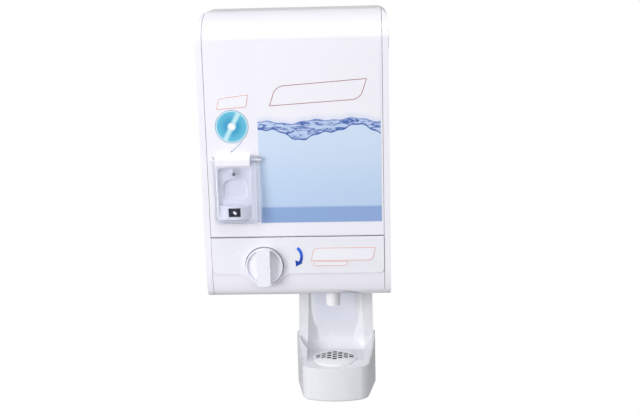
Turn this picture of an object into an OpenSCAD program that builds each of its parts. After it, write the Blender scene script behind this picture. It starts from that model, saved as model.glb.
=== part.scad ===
// Wall dispenser for dental floss and mouthwash, with a drip station hanging under it.
// X runs to the right, -Y towards the user and +Z up. Y is zero on the wall.
// The modules count Z from the bottom edge of the housing, and at_wall() moves the
// finished pieces so that the row's origin is the centre of the four wall screws.

/* [Housing] */
// Width across the side panels
housing_w = 220; // [212:1:240]
// Height from the bottom edge to the top
housing_h = 337; // [330:1:370]
// Depth from the wall to the flat front
housing_d = 105; // [102:1:125]
// Wall of the moulded shells
shell_t = 2.5; // [2.2:0.1:3]
// Thickness of the wall plate
base_t = 3; // [2.5:0.1:4]
// Width of a side panel seen from the front
panel_w = 7.2; // [6.6:0.1:9]
// Gap between a side panel and the front covers
panel_gap = 0.5; // [0.35:0.05:0.8]
// Height of the seam between the door and the lower cover
seam_z = 74.7; // [74.5:0.1:80]
// Open gap of that seam
seam_gap = 0.6; // [0.4:0.1:1]
// Radius of the roll at the bottom edge
roll_r = 14; // [10:1:15]
// Radius of the top corners seen from the front
crown_side_r = 12; // [10:1:14]
// Wall of the base's outer flange
flange_t = 1.5; // [1.2:0.1:2]
// Depth of the base's outer flange
flange_d = 12; // [8:1:20]
// Depth of the lips behind the edges of the door
lip_d = 10; // [6:1:12]

/* [Wall screws] */
// Radius of a wall screw hole
wall_hole_r = 2.6; // [2.1:0.1:3.2]
// Distance between the screw columns
wall_span_x = 150; // [130:1:170]
// Distance between the screw rows
wall_span_z = 200; // [180:1:220]
// Height of the pattern's centre above the bottom edge
wall_centre_z = 185; // [175:1:195]

/* [Door fittings] */
// Radius of a door hinge pin
hinge_pin_r = 1.25; // [1:0.05:1.4]
// Length of a hinge pin inside the door
hinge_pin_in = 9; // [6:1:12]
// Radius of the lock cylinder
lock_r = 8; // [7:0.5:9]
// Height of the lock below the top
lock_drop = 37; // [36:1:44]
// Distance of the lock from the wall
lock_back = 40; // [36:1:46]
// Length of the lock's cam from its axis
cam_len = 22; // [20:1:24]

/* [Knob and fascia] */
// Radius of the knob
knob_r = 22; // [20:0.5:22]
// Place of the knob's axis from the middle
knob_x = -40; // [-46:1:-38]
// Height of the knob's axis
knob_z = 41; // [39:0.5:41]
// Width of the grip bar across the knob
bar_w = 17; // [12:0.5:18]
// Height of the grip bar above the knob's rim
bar_h = 9; // [6:0.5:11]
// Height of the knob's rim above its dish
knob_rim_h = 9.6; // [8:0.2:11]
// Radius of the dish round the knob
dish_r = 22.8; // [22.6:0.1:24]
// Wall of that dish
dish_wall = 1.5; // [1.2:0.1:1.7]
// Depth of the dish below the fascia
dish_depth = 4; // [3:0.2:5]
// Radius of the knob's shaft
shaft_r = 4; // [3:0.1:4.5]
// Thickness of the fascia plate
fascia_t = 2; // [1.6:0.1:2.4]
// Height of the fascia above the housing's front
fascia_proud = 1; // [0.6:0.1:1.2]
// Height of the fascia's lower edge
fascia_edge_z = 30; // [27:0.5:32]

/* [Pump] */
// Radius of the tube's loop round the rotor
loop_r = 25; // [24:0.1:25.4]
// Outer radius of the tube
tube_r = 4; // [3.5:0.1:4]
// Radius of the tube's bore
tube_bore_r = 2.5; // [2:0.1:2.7]
// Distance of the pump's middle plane from the wall
pump_y = 60; // [58:1:62]
// Depth of the pump's cup
pump_depth = 28; // [26:1:30]
// Radius of a pump roller
roller_r = 5; // [4.5:0.1:5]
// Wall of the pump's cup
cup_wall = 4; // [3:0.1:4]
// Turn radius of the tube above the pump
bend_r = 12; // [10:1:13]

/* [Mouthwash] */
// Outer radius of the nozzle
nozzle_r = 8.75; // [7.5:0.25:9.5]
// Length of the nozzle below the housing
nozzle_len = 23.5; // [22:0.5:34]
// Place of the nozzle and the grille from the middle
nozzle_x = 39; // [37:1:41]
// Width of the refill bag
bag_w = 112; // [100:1:116]
// Distance of the refill bag's top edge from the housing's top
bag_headroom = 34.2; // [33:0.2:50]
// Thickness of the filled bag
bag_t = 44; // [36:1:46]

/* [Drip station] */
// Width of the station below the housing
station_w = 96.4; // [92:0.2:100]
// Place of the station's middle
station_x = 40.3; // [39:0.1:42]
// Depth of the station's arms
station_d = 20; // [19:0.5:23]
// Depth of the deck below the housing
deck_drop = 99; // [96:1:106]
// Depth of the drip cup's floor below the housing
cup_drop = 144; // [138:1:152]
// Depth of the drip cup from the wall to its front corners
cup_d = 78; // [76:1:84]
// Wall of the drip cup
drip_wall = 1.7; // [1.5:0.1:2.2]
// Radius of the drain grille
grille_r = 27.9; // [26:0.1:28.5]
// Distance of the grille's centre from the wall
grille_y = 47; // [46:0.5:48.5]

/* [Floss] */
// Distance of the floss column's middle from the housing's left side
floss_inset = 38; // [37:0.5:39]
// Height of the reel's axis
reel_z = 197; // [197:1:204]
// Radius of the reel
reel_r = 26; // [22:0.5:26]
// Width of the reel
reel_w = 26; // [20:1:28]
// Radius of the wound floss
wind_r = 22; // [18:0.5:22]
// Radius of the reel's spindle
spindle_r = 3; // [2.5:0.1:3.5]
// Width of the bay
bay_w = 45; // [43:0.5:46]
// Height of the bay's lower edge
bay_z = 95; // [94:0.5:97]
// Depth of the bay's pocket
bay_depth = 5; // [4:0.2:6]
// Radius of the floss nozzle's hole
floss_hole_r = 1.2; // [0.7:0.05:1.3]
// Radius of the floss strand
strand_r = 0.35; // [0.3:0.05:0.45]

/* [Hood] */
// Reach of the clear hood to the left of the floss column's middle
hood_reach_left = 25; // [24.5:0.5:26]
// Reach of the clear hood to the right of it
hood_reach_right = 33.5; // [32.5:0.5:35]
// How far the hood's left side leans in
hood_lean_left = 4; // [4:0.5:4.5]
// How far its right side leans in
hood_lean_right = 5.5; // [4.5:0.5:6]
// Depth of the hood at its lower end
hood_depth = 15.5; // [15:0.5:19]
// Wall of the hood
hood_t = 1.8; // [1.5:0.1:2]
// Radius of the hood's pivot pins
hood_pin_r = 1.5; // [1.2:0.1:1.8]

/* [Hidden] */
$fn = 64;
cut = 1;
run_gap = 0.06;
seat_gap = 0.3;
label_t = 0.3;
label_inset = 10;
screw_r = 1.2;
screw_head_r = 2.2;
screw_head_h = 1.8;

half_w = housing_w / 2;
inner_w = half_w - panel_w;
door_w = inner_w - panel_gap;
belly_r = 90;
belly_z = 22;
belly_in = 5.9;
crown_r = 22;
crown_back_r = 70;
crown_rise = 19.3;
crown_run = 27.5;
flange_gap = 0.2;
flange_top = housing_h - 37;
flange_w = half_w + flange_gap + flange_t;
door_back = base_t + cut;
floss_x = -half_w + floss_inset;

bead_r = shell_t;
hinge_y = -housing_d + bead_r;
hinge_z = seam_z + seam_gap + bead_r;
hinge_boss_r = hinge_pin_r + 2.6;

lock_y = -lock_back;
lock_z = housing_h - lock_drop;
sleeve_r = lock_r + 2;
lock_in = 16;
lock_face = 1.6;
cam_t = 2;
cam_half = 3;
cam_x = half_w - lock_in;
keeper_t = 2;
keeper_gap = 1.2;

fascia_y = -housing_d - fascia_proud;
lobe_r = dish_r + dish_wall + 3.2;
dish_floor_y = fascia_y + dish_depth;
dish_floor_t = 2;
knob_back_y = dish_floor_y - 0.4;
knob_face_y = knob_back_y - knob_rim_h;
bar_face_y = knob_face_y - bar_h;
knob_wall = 1.6;
pocket_depth = 3;
shaft_depth_in_knob = 12;
shaft_front_y = knob_back_y - shaft_depth_in_knob;

track_r = loop_r + tube_r + seat_gap;
pump_front_y = -pump_y - pump_depth / 2;
pump_back_y = -pump_y + pump_depth / 2;
pump_floor_t = 3;
pump_cover_t = 2;
clip_t = 0.8;
shaft_back_y = pump_back_y + clip_t + 1;
roller_orbit = loop_r - tube_r - seat_gap - roller_r;
roller_pin_r = 1.5;
rotor_disc_t = 2;
rotor_half = 8;
rotor_hub_r = shaft_r + 2;
rotor_disc_r = roller_orbit + roller_pin_r + 1;
leg_r = 4;
leg_orbit = 26;

feed_z = hinge_z + 2 + tube_r;
spout_x = nozzle_x - 10;
spout_z = feed_z + bend_r;
arch_r = (nozzle_x - knob_x - loop_r) / 2;
barb_h = 5;
flange_h = 4;
bag_z = spout_z + barb_h + flange_h;
bag_corner_r = 9;
bag_seal_h = 22;
bag_h = housing_h - bag_headroom - bag_seal_h - bag_z;
peg_r = 3.5;
peg_plate_r = 11;
peg_tip_h = 8;
eyelet_r = 5;
eyelet_z = bag_z + bag_h + bag_seal_h / 2;
peg_z = eyelet_z + eyelet_r - peg_r - seat_gap;
peg_front_y = -pump_y - 8;

nozzle_flange_r = nozzle_r + 3.2;
nozzle_flange_h = 2;
spigot_h = 7;
nozzle_cup_r = nozzle_r - 1.6;
jet_r = 3.5;
jet_bore_r = 1.8;

arm_top_drop = 78;
arm_taper = 3;
arm_room_w = 6;
arm_room_x = station_w / 2 - 7.7;
deck_t = 2.5;
deck_z = -deck_drop;
cup_z = -cup_drop;
cup_half = station_w / 2 + flange_gap + drip_wall;
rim_z = deck_z - 1.5;
rail_w = 1;
rail_h = 3;
rail_z = deck_z - deck_t - rail_h;
rail_len = station_d - 5;
station_plate_w = 52;
grille_rim_t = 1.5;
grille_dome_h = 3.5;
grille_seat = 1;
drain_r = grille_r - 3.4;
slot_w = 5.5;
slot_l = 3.5;
slot_pitch_x = 7;
slot_pitch_y = 6;
slot_counts = [2, 3, 4, 5, 4, 3, 2];

reel_y = -housing_d + 7;
reel_flange_t = 1.5;
reel_hub_r = spindle_r + 5;
spindle_flange_t = 2;
spindle_flange_r = 14;
spindle_shoulder_r = spindle_r + 2;
reel_back_y = reel_y + reel_w;
washer_t = 0.8;
cap_t = 2.6;
bay_top = 162;
bay_front = 0.4;
bay_in = 1.5;
bay_t = 2;
bay_floor_y = -housing_d + bay_depth;
scoop_w = 31;
scoop_z = [120, 145];
scoop_depth = 4;
brow_z = [162.6, 175];
brow_d = 10;
brow_w = 40.8;
floss_out_z = 152.5;
floss_out_len = 7;
strand_x = floss_x + wind_r + 0.7;
strand_y = reel_y + reel_w / 2;
strand_turn_z = reel_z - reel_r - 3.5;
guide_r = 3;
guide_wall = 1.6;
guide_t = 2;
holder_r = 23;
holder_z = [bay_z + 4, bay_z + 19.5];
holder_front_y = -housing_d - 9;
holder_land = 1;
blade_w = 14;
blade_h = 10.5;
blade_t = 0.5;

hood_left = floss_x - hood_reach_left;
hood_right = floss_x + hood_reach_right;
hood_base_y = -housing_d - 0.7;
hood_round = 2.4;
ear_r = 4.4;
hood_pivot_y = hood_base_y - ear_r;
hood_pivot_z = 169.4;
hood_z = [bay_z + 0.3, 173];
hood_front_top = 9.4;
hood_panel_top = 161;

label_x = [floss_x + 30, half_w - label_inset];
label_z = [93, 304];
badge_z = 208;
badge_r = 19.4;

// The two printed plates as X, Z and corner radius
plate_corners = [[14.7, 45.4, 1], [88.5, 45.4, 6], [92.8, 62.2, 1], [19, 62.2, 6]];
strip_corners = [[17.7, 39.2, 1], [58, 39.2, 3], [60, 45.4, 0], [19.3, 45.4, 0]];
tag_corners = [[-17.5, 20, 0.6], [17.5, 21.8, 4], [20.6, 37.6, 0.6], [-14.6, 33.2, 4]];

// The side view's corners as Y, Z and corner radius, from the wall round by the front
side_corners = [
    [-base_t, 0, 0],
    [-housing_d + belly_in, 0, roll_r],
    [-housing_d, belly_z, belly_r],
    [-housing_d, housing_h - crown_rise, crown_r],
    [-housing_d + crown_run, housing_h, crown_back_r],
    [-base_t, housing_h, 0]
];

// The scooped back of the station as Z, half width in front, half width behind, depth
scoop_rows = [
    [1, 33, 31, 1.5],
    [-45, 34.5, 31, 3],
    [-62, 35.5, 28.5, 6],
    [-78, 36.2, 24, 11],
    [deck_z, 36.5, 22, 14]
];

// The dish of the deck as height above the deck and distance inside the tray's outline
dish_rows = [[0, 17], [2.5, 9.5], [8, 4.5], [16, 3]];

function unit(v) = v / norm(v);

function corner_arc(a, p, b, r, n) =
    let (
        u = unit(a - p),
        v = unit(b - p),
        half = acos(u * v) / 2,
        c = p + unit(u + v) * r / sin(half),
        s = p + u * r / tan(half) - c,
        e = p + v * r / tan(half) - c,
        start = atan2(s[1], s[0]),
        turn = atan2(e[1], e[0]) - start,
        sweep = turn > 180 ? turn - 360 : turn < -180 ? turn + 360 : turn
    )
    [for (i = [0 : n]) c + r * [cos(start + sweep * i / n), sin(start + sweep * i / n)]];

function xy(c) = [c[0], c[1]];

function rounded(c, n = 10) = [
    for (i = [0 : len(c) - 1])
        let (k = len(c))
        each (
            c[i][2] > 0
                ? corner_arc(xy(c[(i + k - 1) % k]), xy(c[i]), xy(c[(i + 1) % k]), c[i][2], n)
                : [xy(c[i])]
        )
];

function inset(c, t) = [
    for (i = [0 : len(c) - 1])
        let (
            k = len(c),
            p = xy(c[i]),
            u = unit(xy(c[(i + k - 1) % k]) - p),
            v = unit(xy(c[(i + 1) % k]) - p),
            q = p + unit(u + v) * t / sin(acos(u * v) / 2)
        )
        [q[0], q[1], c[i][2] > 0 ? max(c[i][2] - t, 0.5) : 0]
];

function fascia_corners(g) =
    let (
        r = lobe_r + g,
        edge = fascia_edge_z - g,
        foot = r * tan(22.5),
        reach = r * sqrt(2) + edge - knob_z,
        side = door_w + g
    )
    [
        [-side, seam_z + g, 0],
        [-side, edge, 6],
        [knob_x - reach, edge, 10],
        [knob_x - foot, knob_z - r, r - 0.05],
        [knob_x + foot, knob_z - r, r - 0.05],
        [knob_x + reach, edge, 10],
        [side, edge, 6],
        [side, seam_z + g, 0]
    ];

function cup_corners() = [
    [cup_half, -0.6, 2],
    [cup_half, -station_d, 8],
    [cup_half - 10, -cup_d + 2, 16],
    [0, -cup_d - 10, 80],
    [-cup_half + 10, -cup_d + 2, 16],
    [-cup_half, -station_d, 8],
    [-cup_half, -0.6, 2]
];

module along_x(x0, x1) {
    translate([x0, 0, 0]) rotate([90, 0, 90]) linear_extrude(x1 - x0) children();
}

module along_y(y0, y1) {
    translate([0, y1, 0]) rotate([90, 0, 0]) linear_extrude(y1 - y0) children();
}

module along_z(z0, z1) {
    translate([0, 0, z0]) linear_extrude(z1 - z0) children();
}

module at_wall() {
    translate([0, 0, -wall_centre_z]) children();
}

module profile(t) {
    polygon(rounded(inset(side_corners, t), 12));
}

module hollow(t) {
    profile(t);
    translate([-base_t - t - cut, t]) square([t + 2 * cut, housing_h - 2 * t]);
}

module front_outline(t) {
    along_y(-housing_d - cut, cut)
        polygon(rounded(inset([
            [-half_w, 0, 4],
            [half_w, 0, 4],
            [half_w, housing_h, crown_side_r],
            [-half_w, housing_h, crown_side_r]
        ], t)));
}

module panel_screw_places() {
    for (z = [44, housing_h / 2, housing_h - 60])
        translate([half_w - shell_t - screw_head_r - seat_gap, 0, z]) children();
}

module rear_base() {
    color("gainsboro") difference() {
        union() {
            intersection() {
                translate([-half_w, -base_t, 0]) cube([housing_w, base_t, housing_h]);
                front_outline(0);
            }
            for (side = [0, 1]) mirror([side, 0, 0]) {
                translate([half_w - cut, -base_t, 0])
                    cube([flange_w - half_w + cut, base_t, flange_top]);
                translate([flange_w - flange_t, -flange_d, 0])
                    cube([flange_t, flange_d, flange_top]);
                translate([half_w - 14, -base_t - 5, 20]) cube([2, 5, housing_h - 60]);
            }
        }
        for (x = [-1, 1], z = [-1, 1])
            translate([x * wall_span_x / 2, 0, wall_centre_z + z * wall_span_z / 2])
                along_y(-base_t - cut, cut) circle(wall_hole_r);
        for (side = [0, 1]) mirror([side, 0, 0]) panel_screw_places()
            along_y(-base_t - cut, -0.6) circle(screw_r);
    }
}

module side_panel() {
    difference() {
        union() {
            difference() {
                intersection() {
                    along_x(inner_w, half_w) profile(0);
                    front_outline(0);
                }
                intersection() {
                    along_x(inner_w - cut, half_w - shell_t) profile(shell_t);
                    front_outline(shell_t);
                }
            }
            intersection() {
                along_x(inner_w, half_w - shell_t)
                    translate([hinge_y, hinge_z]) circle(hinge_boss_r);
                along_x(inner_w, half_w) profile(0);
            }
        }
        along_x(inner_w - cut, half_w - shell_t)
            translate([hinge_y, hinge_z]) circle(hinge_pin_r);
        panel_screw_places() along_y(-housing_d / 2, 0) circle(screw_r);
    }
}

module right_side_panel() {
    color("white") difference() {
        side_panel();
        along_x(inner_w - cut, half_w + cut)
            translate([lock_y, lock_z]) circle(sleeve_r);
    }
}

module left_side_panel() {
    color("white") mirror([1, 0, 0]) side_panel();
}

module panel_screws() {
    head_y = -base_t - shell_t;
    color("silver") for (side = [0, 1]) mirror([side, 0, 0]) panel_screw_places() {
        along_y(head_y, -0.6) circle(screw_r);
        along_y(head_y - screw_head_h, head_y) circle(screw_head_r);
    }
}

module lower_cover() {
    color("white") difference() {
        union() {
            intersection() {
                difference() {
                    along_x(-door_w, door_w) profile(0);
                    along_x(-door_w - cut, door_w + cut) hollow(shell_t);
                }
                translate([-half_w, -housing_d, 0]) cube([housing_w, housing_d, seam_z]);
            }
            for (side = [0, 1]) mirror([side, 0, 0]) intersection() {
                along_x(door_w - shell_t, door_w) difference() {
                    profile(shell_t / 2);
                    hollow(shell_t + lip_d);
                }
                translate([0, -housing_d, 0])
                    cube([half_w, housing_d - door_back, seam_z - 3]);
            }
        }
        along_y(-housing_d - cut, fascia_y + fascia_t) polygon(rounded(fascia_corners(0.3)));
        translate([knob_x, 0, knob_z])
            along_y(-housing_d - cut, -housing_d + 12) circle(dish_r + dish_wall + 0.2);
        translate([nozzle_x, -pump_y, -cut]) cylinder(r = nozzle_r + 0.15, h = shell_t + 2 * cut);
        station_screw_places() translate([0, 0, -cut]) cylinder(r = 1.5, h = shell_t + 2 * cut);
    }
}

module control_fascia() {
    color("white") difference() {
        union() {
            along_y(fascia_y, fascia_y + fascia_t) polygon(rounded(fascia_corners(0)));
            translate([knob_x, 0, knob_z])
                along_y(fascia_y, dish_floor_y + dish_floor_t) circle(dish_r + dish_wall);
        }
        translate([knob_x, 0, knob_z]) {
            along_y(fascia_y - cut, dish_floor_y) circle(dish_r);
            along_y(fascia_y, 0) circle(shaft_r + run_gap);
        }
    }
}

module instruction_plate() {
    color("white") along_y(fascia_y - label_t, fascia_y) {
        polygon(rounded(plate_corners, 6));
        polygon(rounded(strip_corners, 6));
    }
}

module arrow_plate() {
    centre = [-9.5, 51.5];
    outer_r = 15.7;
    inner_r = 12.2;
    color("royalblue") along_y(fascia_y - label_t, fascia_y) {
        intersection() {
            translate(centre) difference() {
                circle(outer_r);
                circle(inner_r);
            }
            translate(centre)
                polygon([[0, 0], [40 * cos(49), 40 * sin(49)], [40, 0], [40 * cos(33), -40 * sin(33)]]);
        }
        polygon([[-2.4, 39], [-3.2, 47], [5.4, 43.4]]);
    }
}

module door_hinge_pins() {
    color("silver") for (side = [0, 1]) mirror([side, 0, 0])
        along_x(door_w - hinge_pin_in, half_w - shell_t)
            translate([hinge_y, hinge_z]) circle(hinge_pin_r);
}

module front_door() {
    keeper_y = lock_y + cam_half + keeper_gap;
    keeper_z = lock_z + sleeve_r + 1;
    color("white") difference() {
        union() {
            intersection() {
                difference() {
                    along_x(-door_w, door_w) profile(0);
                    along_x(-door_w - cut, door_w + cut) hollow(shell_t);
                }
                front_outline(0);
                translate([-half_w, -housing_d, hinge_z])
                    cube([housing_w, housing_d - door_back, housing_h]);
            }
            along_x(-door_w, door_w) translate([hinge_y, hinge_z]) circle(bead_r);
            for (side = [0, 1]) mirror([side, 0, 0]) intersection() {
                along_x(door_w - shell_t, door_w) difference() {
                    profile(shell_t / 2);
                    hollow(shell_t + lip_d);
                }
                translate([0, -housing_d, hinge_z + 6])
                    cube([half_w, housing_d - door_back, housing_h]);
            }
            translate([cam_x - 2, keeper_y, keeper_z])
                cube([4, keeper_t, housing_h - shell_t / 2 - keeper_z]);
        }
        for (side = [0, 1]) mirror([side, 0, 0])
            along_x(door_w - hinge_pin_in - 0.5, door_w + cut)
                translate([hinge_y, hinge_z]) circle(hinge_pin_r + run_gap);
        translate([floss_x - bay_w / 2 + bay_in, -housing_d - cut, bay_z + bay_in])
            cube([bay_w - 2 * bay_in, shell_t + 2 * cut, bay_top - bay_z - 2 * bay_in]);
        brow_screw_places() along_y(-housing_d - cut, -housing_d + shell_t + cut) circle(screw_r);
    }
}

module front_label() {
    color("lightsteelblue") along_y(-housing_d - label_t, -housing_d)
        polygon([[label_x[0], label_z[0]], [label_x[1], label_z[0]],
            [label_x[1], label_z[1]], [label_x[0], label_z[1]]]);
}

module reel_badge() {
    color("mediumturquoise") translate([floss_x, 0, badge_z])
        along_y(-housing_d - label_t, -housing_d) circle(badge_r);
}

module floss_tag() {
    color("white") translate([floss_x, 0, badge_z]) along_y(-housing_d - label_t, -housing_d)
        polygon(rounded(tag_corners, 6));
}

module floss_bay() {
    mid = bay_w / 2;
    color("white") difference() {
        union() {
            translate([floss_x - mid, -housing_d - bay_front, bay_z])
                cube([bay_w, bay_front, bay_top - bay_z]);
            translate([floss_x - mid + bay_in, -housing_d, bay_z + bay_in])
                cube([bay_w - 2 * bay_in, bay_depth + bay_t, bay_top - bay_z - 2 * bay_in]);
            translate([floss_x - scoop_w / 2 - bay_t, bay_floor_y, scoop_z[0] - bay_t])
                cube([scoop_w + 2 * bay_t, scoop_depth + bay_t, scoop_z[1] - scoop_z[0] + 2 * bay_t]);
        }
        translate([floss_x - mid + bay_in + bay_t, -housing_d - cut, bay_z + bay_in + bay_t])
            cube([
                bay_w - 2 * (bay_in + bay_t), bay_depth + cut,
                bay_top - bay_z - 2 * (bay_in + bay_t)
            ]);
        translate([floss_x, 0, 0]) along_y(bay_floor_y - cut, bay_floor_y + scoop_depth)
            polygon(rounded([
                [-scoop_w / 2, scoop_z[0], 8],
                [scoop_w / 2, scoop_z[0], 8],
                [scoop_w / 2, scoop_z[1], 8],
                [-scoop_w / 2, scoop_z[1], 8]
            ]));
        translate([floss_x, 0, floss_out_z]) along_y(-housing_d, 0) circle(3);
    }
}

module brow_screw_places() {
    for (side = [-1, 1]) translate([floss_x + side * 12, 0, hood_pivot_z]) children();
}

module floss_brow() {
    color("white") difference() {
        along_x(floss_x - brow_w / 2, floss_x + brow_w / 2)
            polygon(rounded([
                [-housing_d, brow_z[0], 0],
                [-housing_d - brow_d, brow_z[0], 1.5],
                [-housing_d - brow_d, brow_z[1], 5],
                [-housing_d, brow_z[1], 0]
            ]));
        hood_pin_rods(hood_pin_r);
        brow_screw_places() along_y(-housing_d - 3, -housing_d + cut) circle(screw_r);
    }
}

module brow_screws() {
    head_y = -housing_d + shell_t;
    color("silver") brow_screw_places() {
        along_y(-housing_d - 3, head_y) circle(screw_r);
        along_y(head_y, head_y + screw_head_h) circle(screw_head_r);
    }
}

module floss_nozzle() {
    color("white") translate([floss_x, 0, floss_out_z]) difference() {
        union() {
            along_y(bay_floor_y, bay_floor_y + bay_t) circle(3);
            translate([0, bay_floor_y, 0]) rotate([90, 0, 0])
                cylinder(r1 = 5, r2 = 2.6, h = floss_out_len);
        }
        along_y(-housing_d * 2, 0) circle(floss_hole_r);
    }
}

module cutter_holder() {
    side = bay_w / 2 - bay_in - bay_t - seat_gap;
    land_y = holder_front_y + holder_land;
    color("white") difference() {
        intersection() {
            translate([floss_x, holder_front_y + holder_r, holder_z[0]])
                cylinder(r = holder_r, h = holder_z[1] - holder_z[0]);
            translate([floss_x - side, holder_front_y, holder_z[0]])
                cube([2 * side, bay_floor_y - holder_front_y, holder_z[1] - holder_z[0]]);
        }
        translate([floss_x - blade_w / 2, land_y - 2 * cut, holder_z[0] + 3.5])
            cube([blade_w, 2 * cut, blade_h]);
    }
}

module cutter_blade() {
    land_y = holder_front_y + holder_land;
    color("dimgray") translate([floss_x, land_y - blade_t, holder_z[0] + 3.5]) {
        translate([-blade_w / 2, 0, 0]) cube([blade_w, blade_t, blade_h]);
        translate([0, 0, blade_h / 2]) rotate([0, 40, 0]) translate([-2.6, 0, -1.3])
            along_z(0, 2.6) polygon([[0, 0], [5.2, 0], [5.2, -1]]);
    }
}

module hood_pin_rods(r) {
    for (x = [[hood_left - 0.8, floss_x - 16], [floss_x + 16, hood_right - 0.5]])
        along_x(x[0], x[1]) translate([hood_pivot_y, hood_pivot_z]) circle(r);
}

module hood_pins() {
    color("silver") hood_pin_rods(hood_pin_r);
}

module hood_form(r, back) {
    hull() for (x = [0, 1]) {
        base_x = x == 0 ? hood_left + hood_round : hood_right - hood_round;
        front_x = x == 0 ? base_x + hood_lean_left : base_x - hood_lean_right;
        for (z = [hood_z[0] + hood_round, hood_z[1]])
            translate([base_x, hood_base_y + back, z]) sphere(r, $fn = 20);
        translate([front_x, hood_base_y - hood_depth + hood_round, hood_z[0] + hood_round])
            sphere(r, $fn = 20);
        translate([front_x, hood_base_y - hood_front_top + hood_round, hood_z[1]])
            sphere(r, $fn = 20);
    }
}

module clear_hood() {
    boss_x = floss_x + brow_w / 2 + 0.4;
    wide = hood_right - hood_left;
    color("aliceblue", 0.4) difference() {
        union() {
            difference() {
                hood_form(hood_round, 0);
                hood_form(hood_round - hood_t, 6);
            }
            along_x(boss_x, hood_right - 3.6)
                translate([hood_pivot_y, hood_pivot_z]) circle(hood_pin_r + 1.6);
        }
        translate([hood_left - cut, hood_base_y, hood_z[0] - 10])
            cube([wide + 2 * cut, 20, 120]);
        translate([2 * floss_x - boss_x, hood_base_y - 30, hood_panel_top])
            cube([2 * (boss_x - floss_x), 40, 30]);
        translate([floss_x, hood_base_y - 30, hood_panel_top])
            cube([hood_right - hood_lean_right - 3 - floss_x, 30 - 2 * ear_r, 30]);
        difference() {
            translate([hood_left - cut, hood_base_y - 30, hood_pivot_z])
                cube([wide + 2 * cut, 50, 30]);
            along_x(hood_left - 2 * cut, hood_right + 2 * cut)
                translate([hood_pivot_y, hood_pivot_z]) circle(ear_r);
        }
        along_x(hood_left - 2 * cut, hood_right + 2 * cut)
            translate([hood_pivot_y, hood_pivot_z]) circle(hood_pin_r + run_gap);
    }
}

module reel_spindle() {
    face_y = -housing_d + shell_t;
    color("lightgray") translate([floss_x, 0, reel_z]) {
        along_y(face_y, face_y + spindle_flange_t) circle(spindle_flange_r);
        along_y(face_y + spindle_flange_t, reel_y - seat_gap) circle(spindle_shoulder_r);
        along_y(face_y, reel_back_y + washer_t + 3 * seat_gap + cap_t) circle(spindle_r);
    }
}

module reel_spool() {
    color("whitesmoke") translate([floss_x, 0, reel_z]) difference() {
        union() {
            along_y(reel_y, reel_y + reel_flange_t) circle(reel_r);
            along_y(reel_y, reel_back_y) circle(reel_hub_r);
            along_y(reel_back_y - reel_flange_t, reel_back_y) circle(reel_r);
        }
        along_y(reel_y - cut, reel_back_y + cut) circle(spindle_r + run_gap);
    }
}

module floss_winding() {
    color("azure") translate([floss_x, 0, reel_z])
        along_y(reel_y + reel_flange_t, reel_back_y - reel_flange_t) difference() {
            circle(wind_r);
            circle(reel_hub_r);
        }
}

module tension_washer() {
    color("silver") translate([floss_x, 0, reel_z])
        along_y(reel_back_y + seat_gap, reel_back_y + seat_gap + washer_t) difference() {
            circle(spindle_r + 3.5);
            circle(spindle_r);
        }
}

module spindle_cap() {
    cap_y = reel_back_y + washer_t + 2 * seat_gap;
    color("gray") translate([floss_x, 0, reel_z])
        along_y(cap_y, cap_y + cap_t) difference() {
            circle(spindle_r + 4);
            circle(spindle_r);
        }
}

module strand_guide() {
    post_x = strand_x + guide_r - guide_wall;
    color("silver") along_z(strand_turn_z - guide_t / 2, strand_turn_z + guide_t / 2) difference() {
        union() {
            translate([strand_x, strand_y]) circle(guide_r);
            translate([post_x, -housing_d + shell_t]) square([guide_wall, strand_y + housing_d - shell_t]);
            translate([post_x - guide_wall, -housing_d + shell_t]) square([3 * guide_wall, guide_wall]);
        }
        translate([strand_x, strand_y]) circle(guide_r - guide_wall);
    }
}

module strand_run(a, b) {
    hull() for (p = [a, b]) translate(p) sphere(strand_r, $fn = 8);
}

module floss_strand() {
    start = [strand_x, strand_y, reel_z];
    turn = [strand_x, strand_y, strand_turn_z - guide_t / 2 - 2 * strand_r];
    throat = [floss_x, bay_floor_y + bay_t + 1, floss_out_z];
    tip = [floss_x, bay_floor_y - floss_out_len - 0.4, floss_out_z];
    color("white") {
        strand_run(start, turn);
        strand_run(turn, throat);
        strand_run(throat, tip);
    }
}

module knob() {
    color("white") translate([knob_x, 0, knob_z]) difference() {
        union() {
            along_y(knob_face_y, knob_back_y) circle(knob_r);
            along_y(bar_face_y, knob_face_y) intersection() {
                circle(knob_r);
                square([bar_w, 2 * knob_r + cut], center = true);
            }
        }
        along_y(knob_face_y - cut, knob_face_y + pocket_depth) difference() {
            circle(knob_r - knob_wall);
            square([bar_w, 2 * knob_r + cut], center = true);
        }
        along_y(shaft_front_y, knob_back_y + cut) circle(shaft_r);
    }
}

module knob_shaft() {
    color("silver") translate([knob_x, 0, knob_z]) difference() {
        along_y(shaft_front_y, shaft_back_y) circle(shaft_r);
        along_y(pump_back_y + 0.2, pump_back_y + 0.2 + clip_t) difference() {
            circle(shaft_r + cut);
            circle(shaft_r - 0.6);
        }
    }
}

module shaft_clip() {
    color("dimgray") translate([knob_x, 0, knob_z])
        along_y(pump_back_y + 0.2, pump_back_y + 0.2 + clip_t) difference() {
            circle(shaft_r + 3);
            circle(shaft_r - 0.6);
        }
}

module bend(x, z, start, sweep, turn_r, r) {
    translate([x, -pump_y, z]) rotate([90, 0, 0]) rotate([0, 0, start])
        rotate_extrude(angle = sweep) translate([turn_r, 0]) circle(r, $fn = 32);
}

module tube_inlet(r) {
    down_x = knob_x - loop_r;
    bend(spout_x - bend_r, spout_z, -90, 90, bend_r, r);
    along_x(down_x + bend_r, spout_x - bend_r) translate([-pump_y, feed_z])
        circle(r, $fn = 32);
    bend(down_x + bend_r, feed_z - bend_r, 90, 90, bend_r, r);
    translate([down_x, -pump_y, knob_z])
        cylinder(r = r, h = feed_z - bend_r - knob_z, $fn = 32);
}

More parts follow.
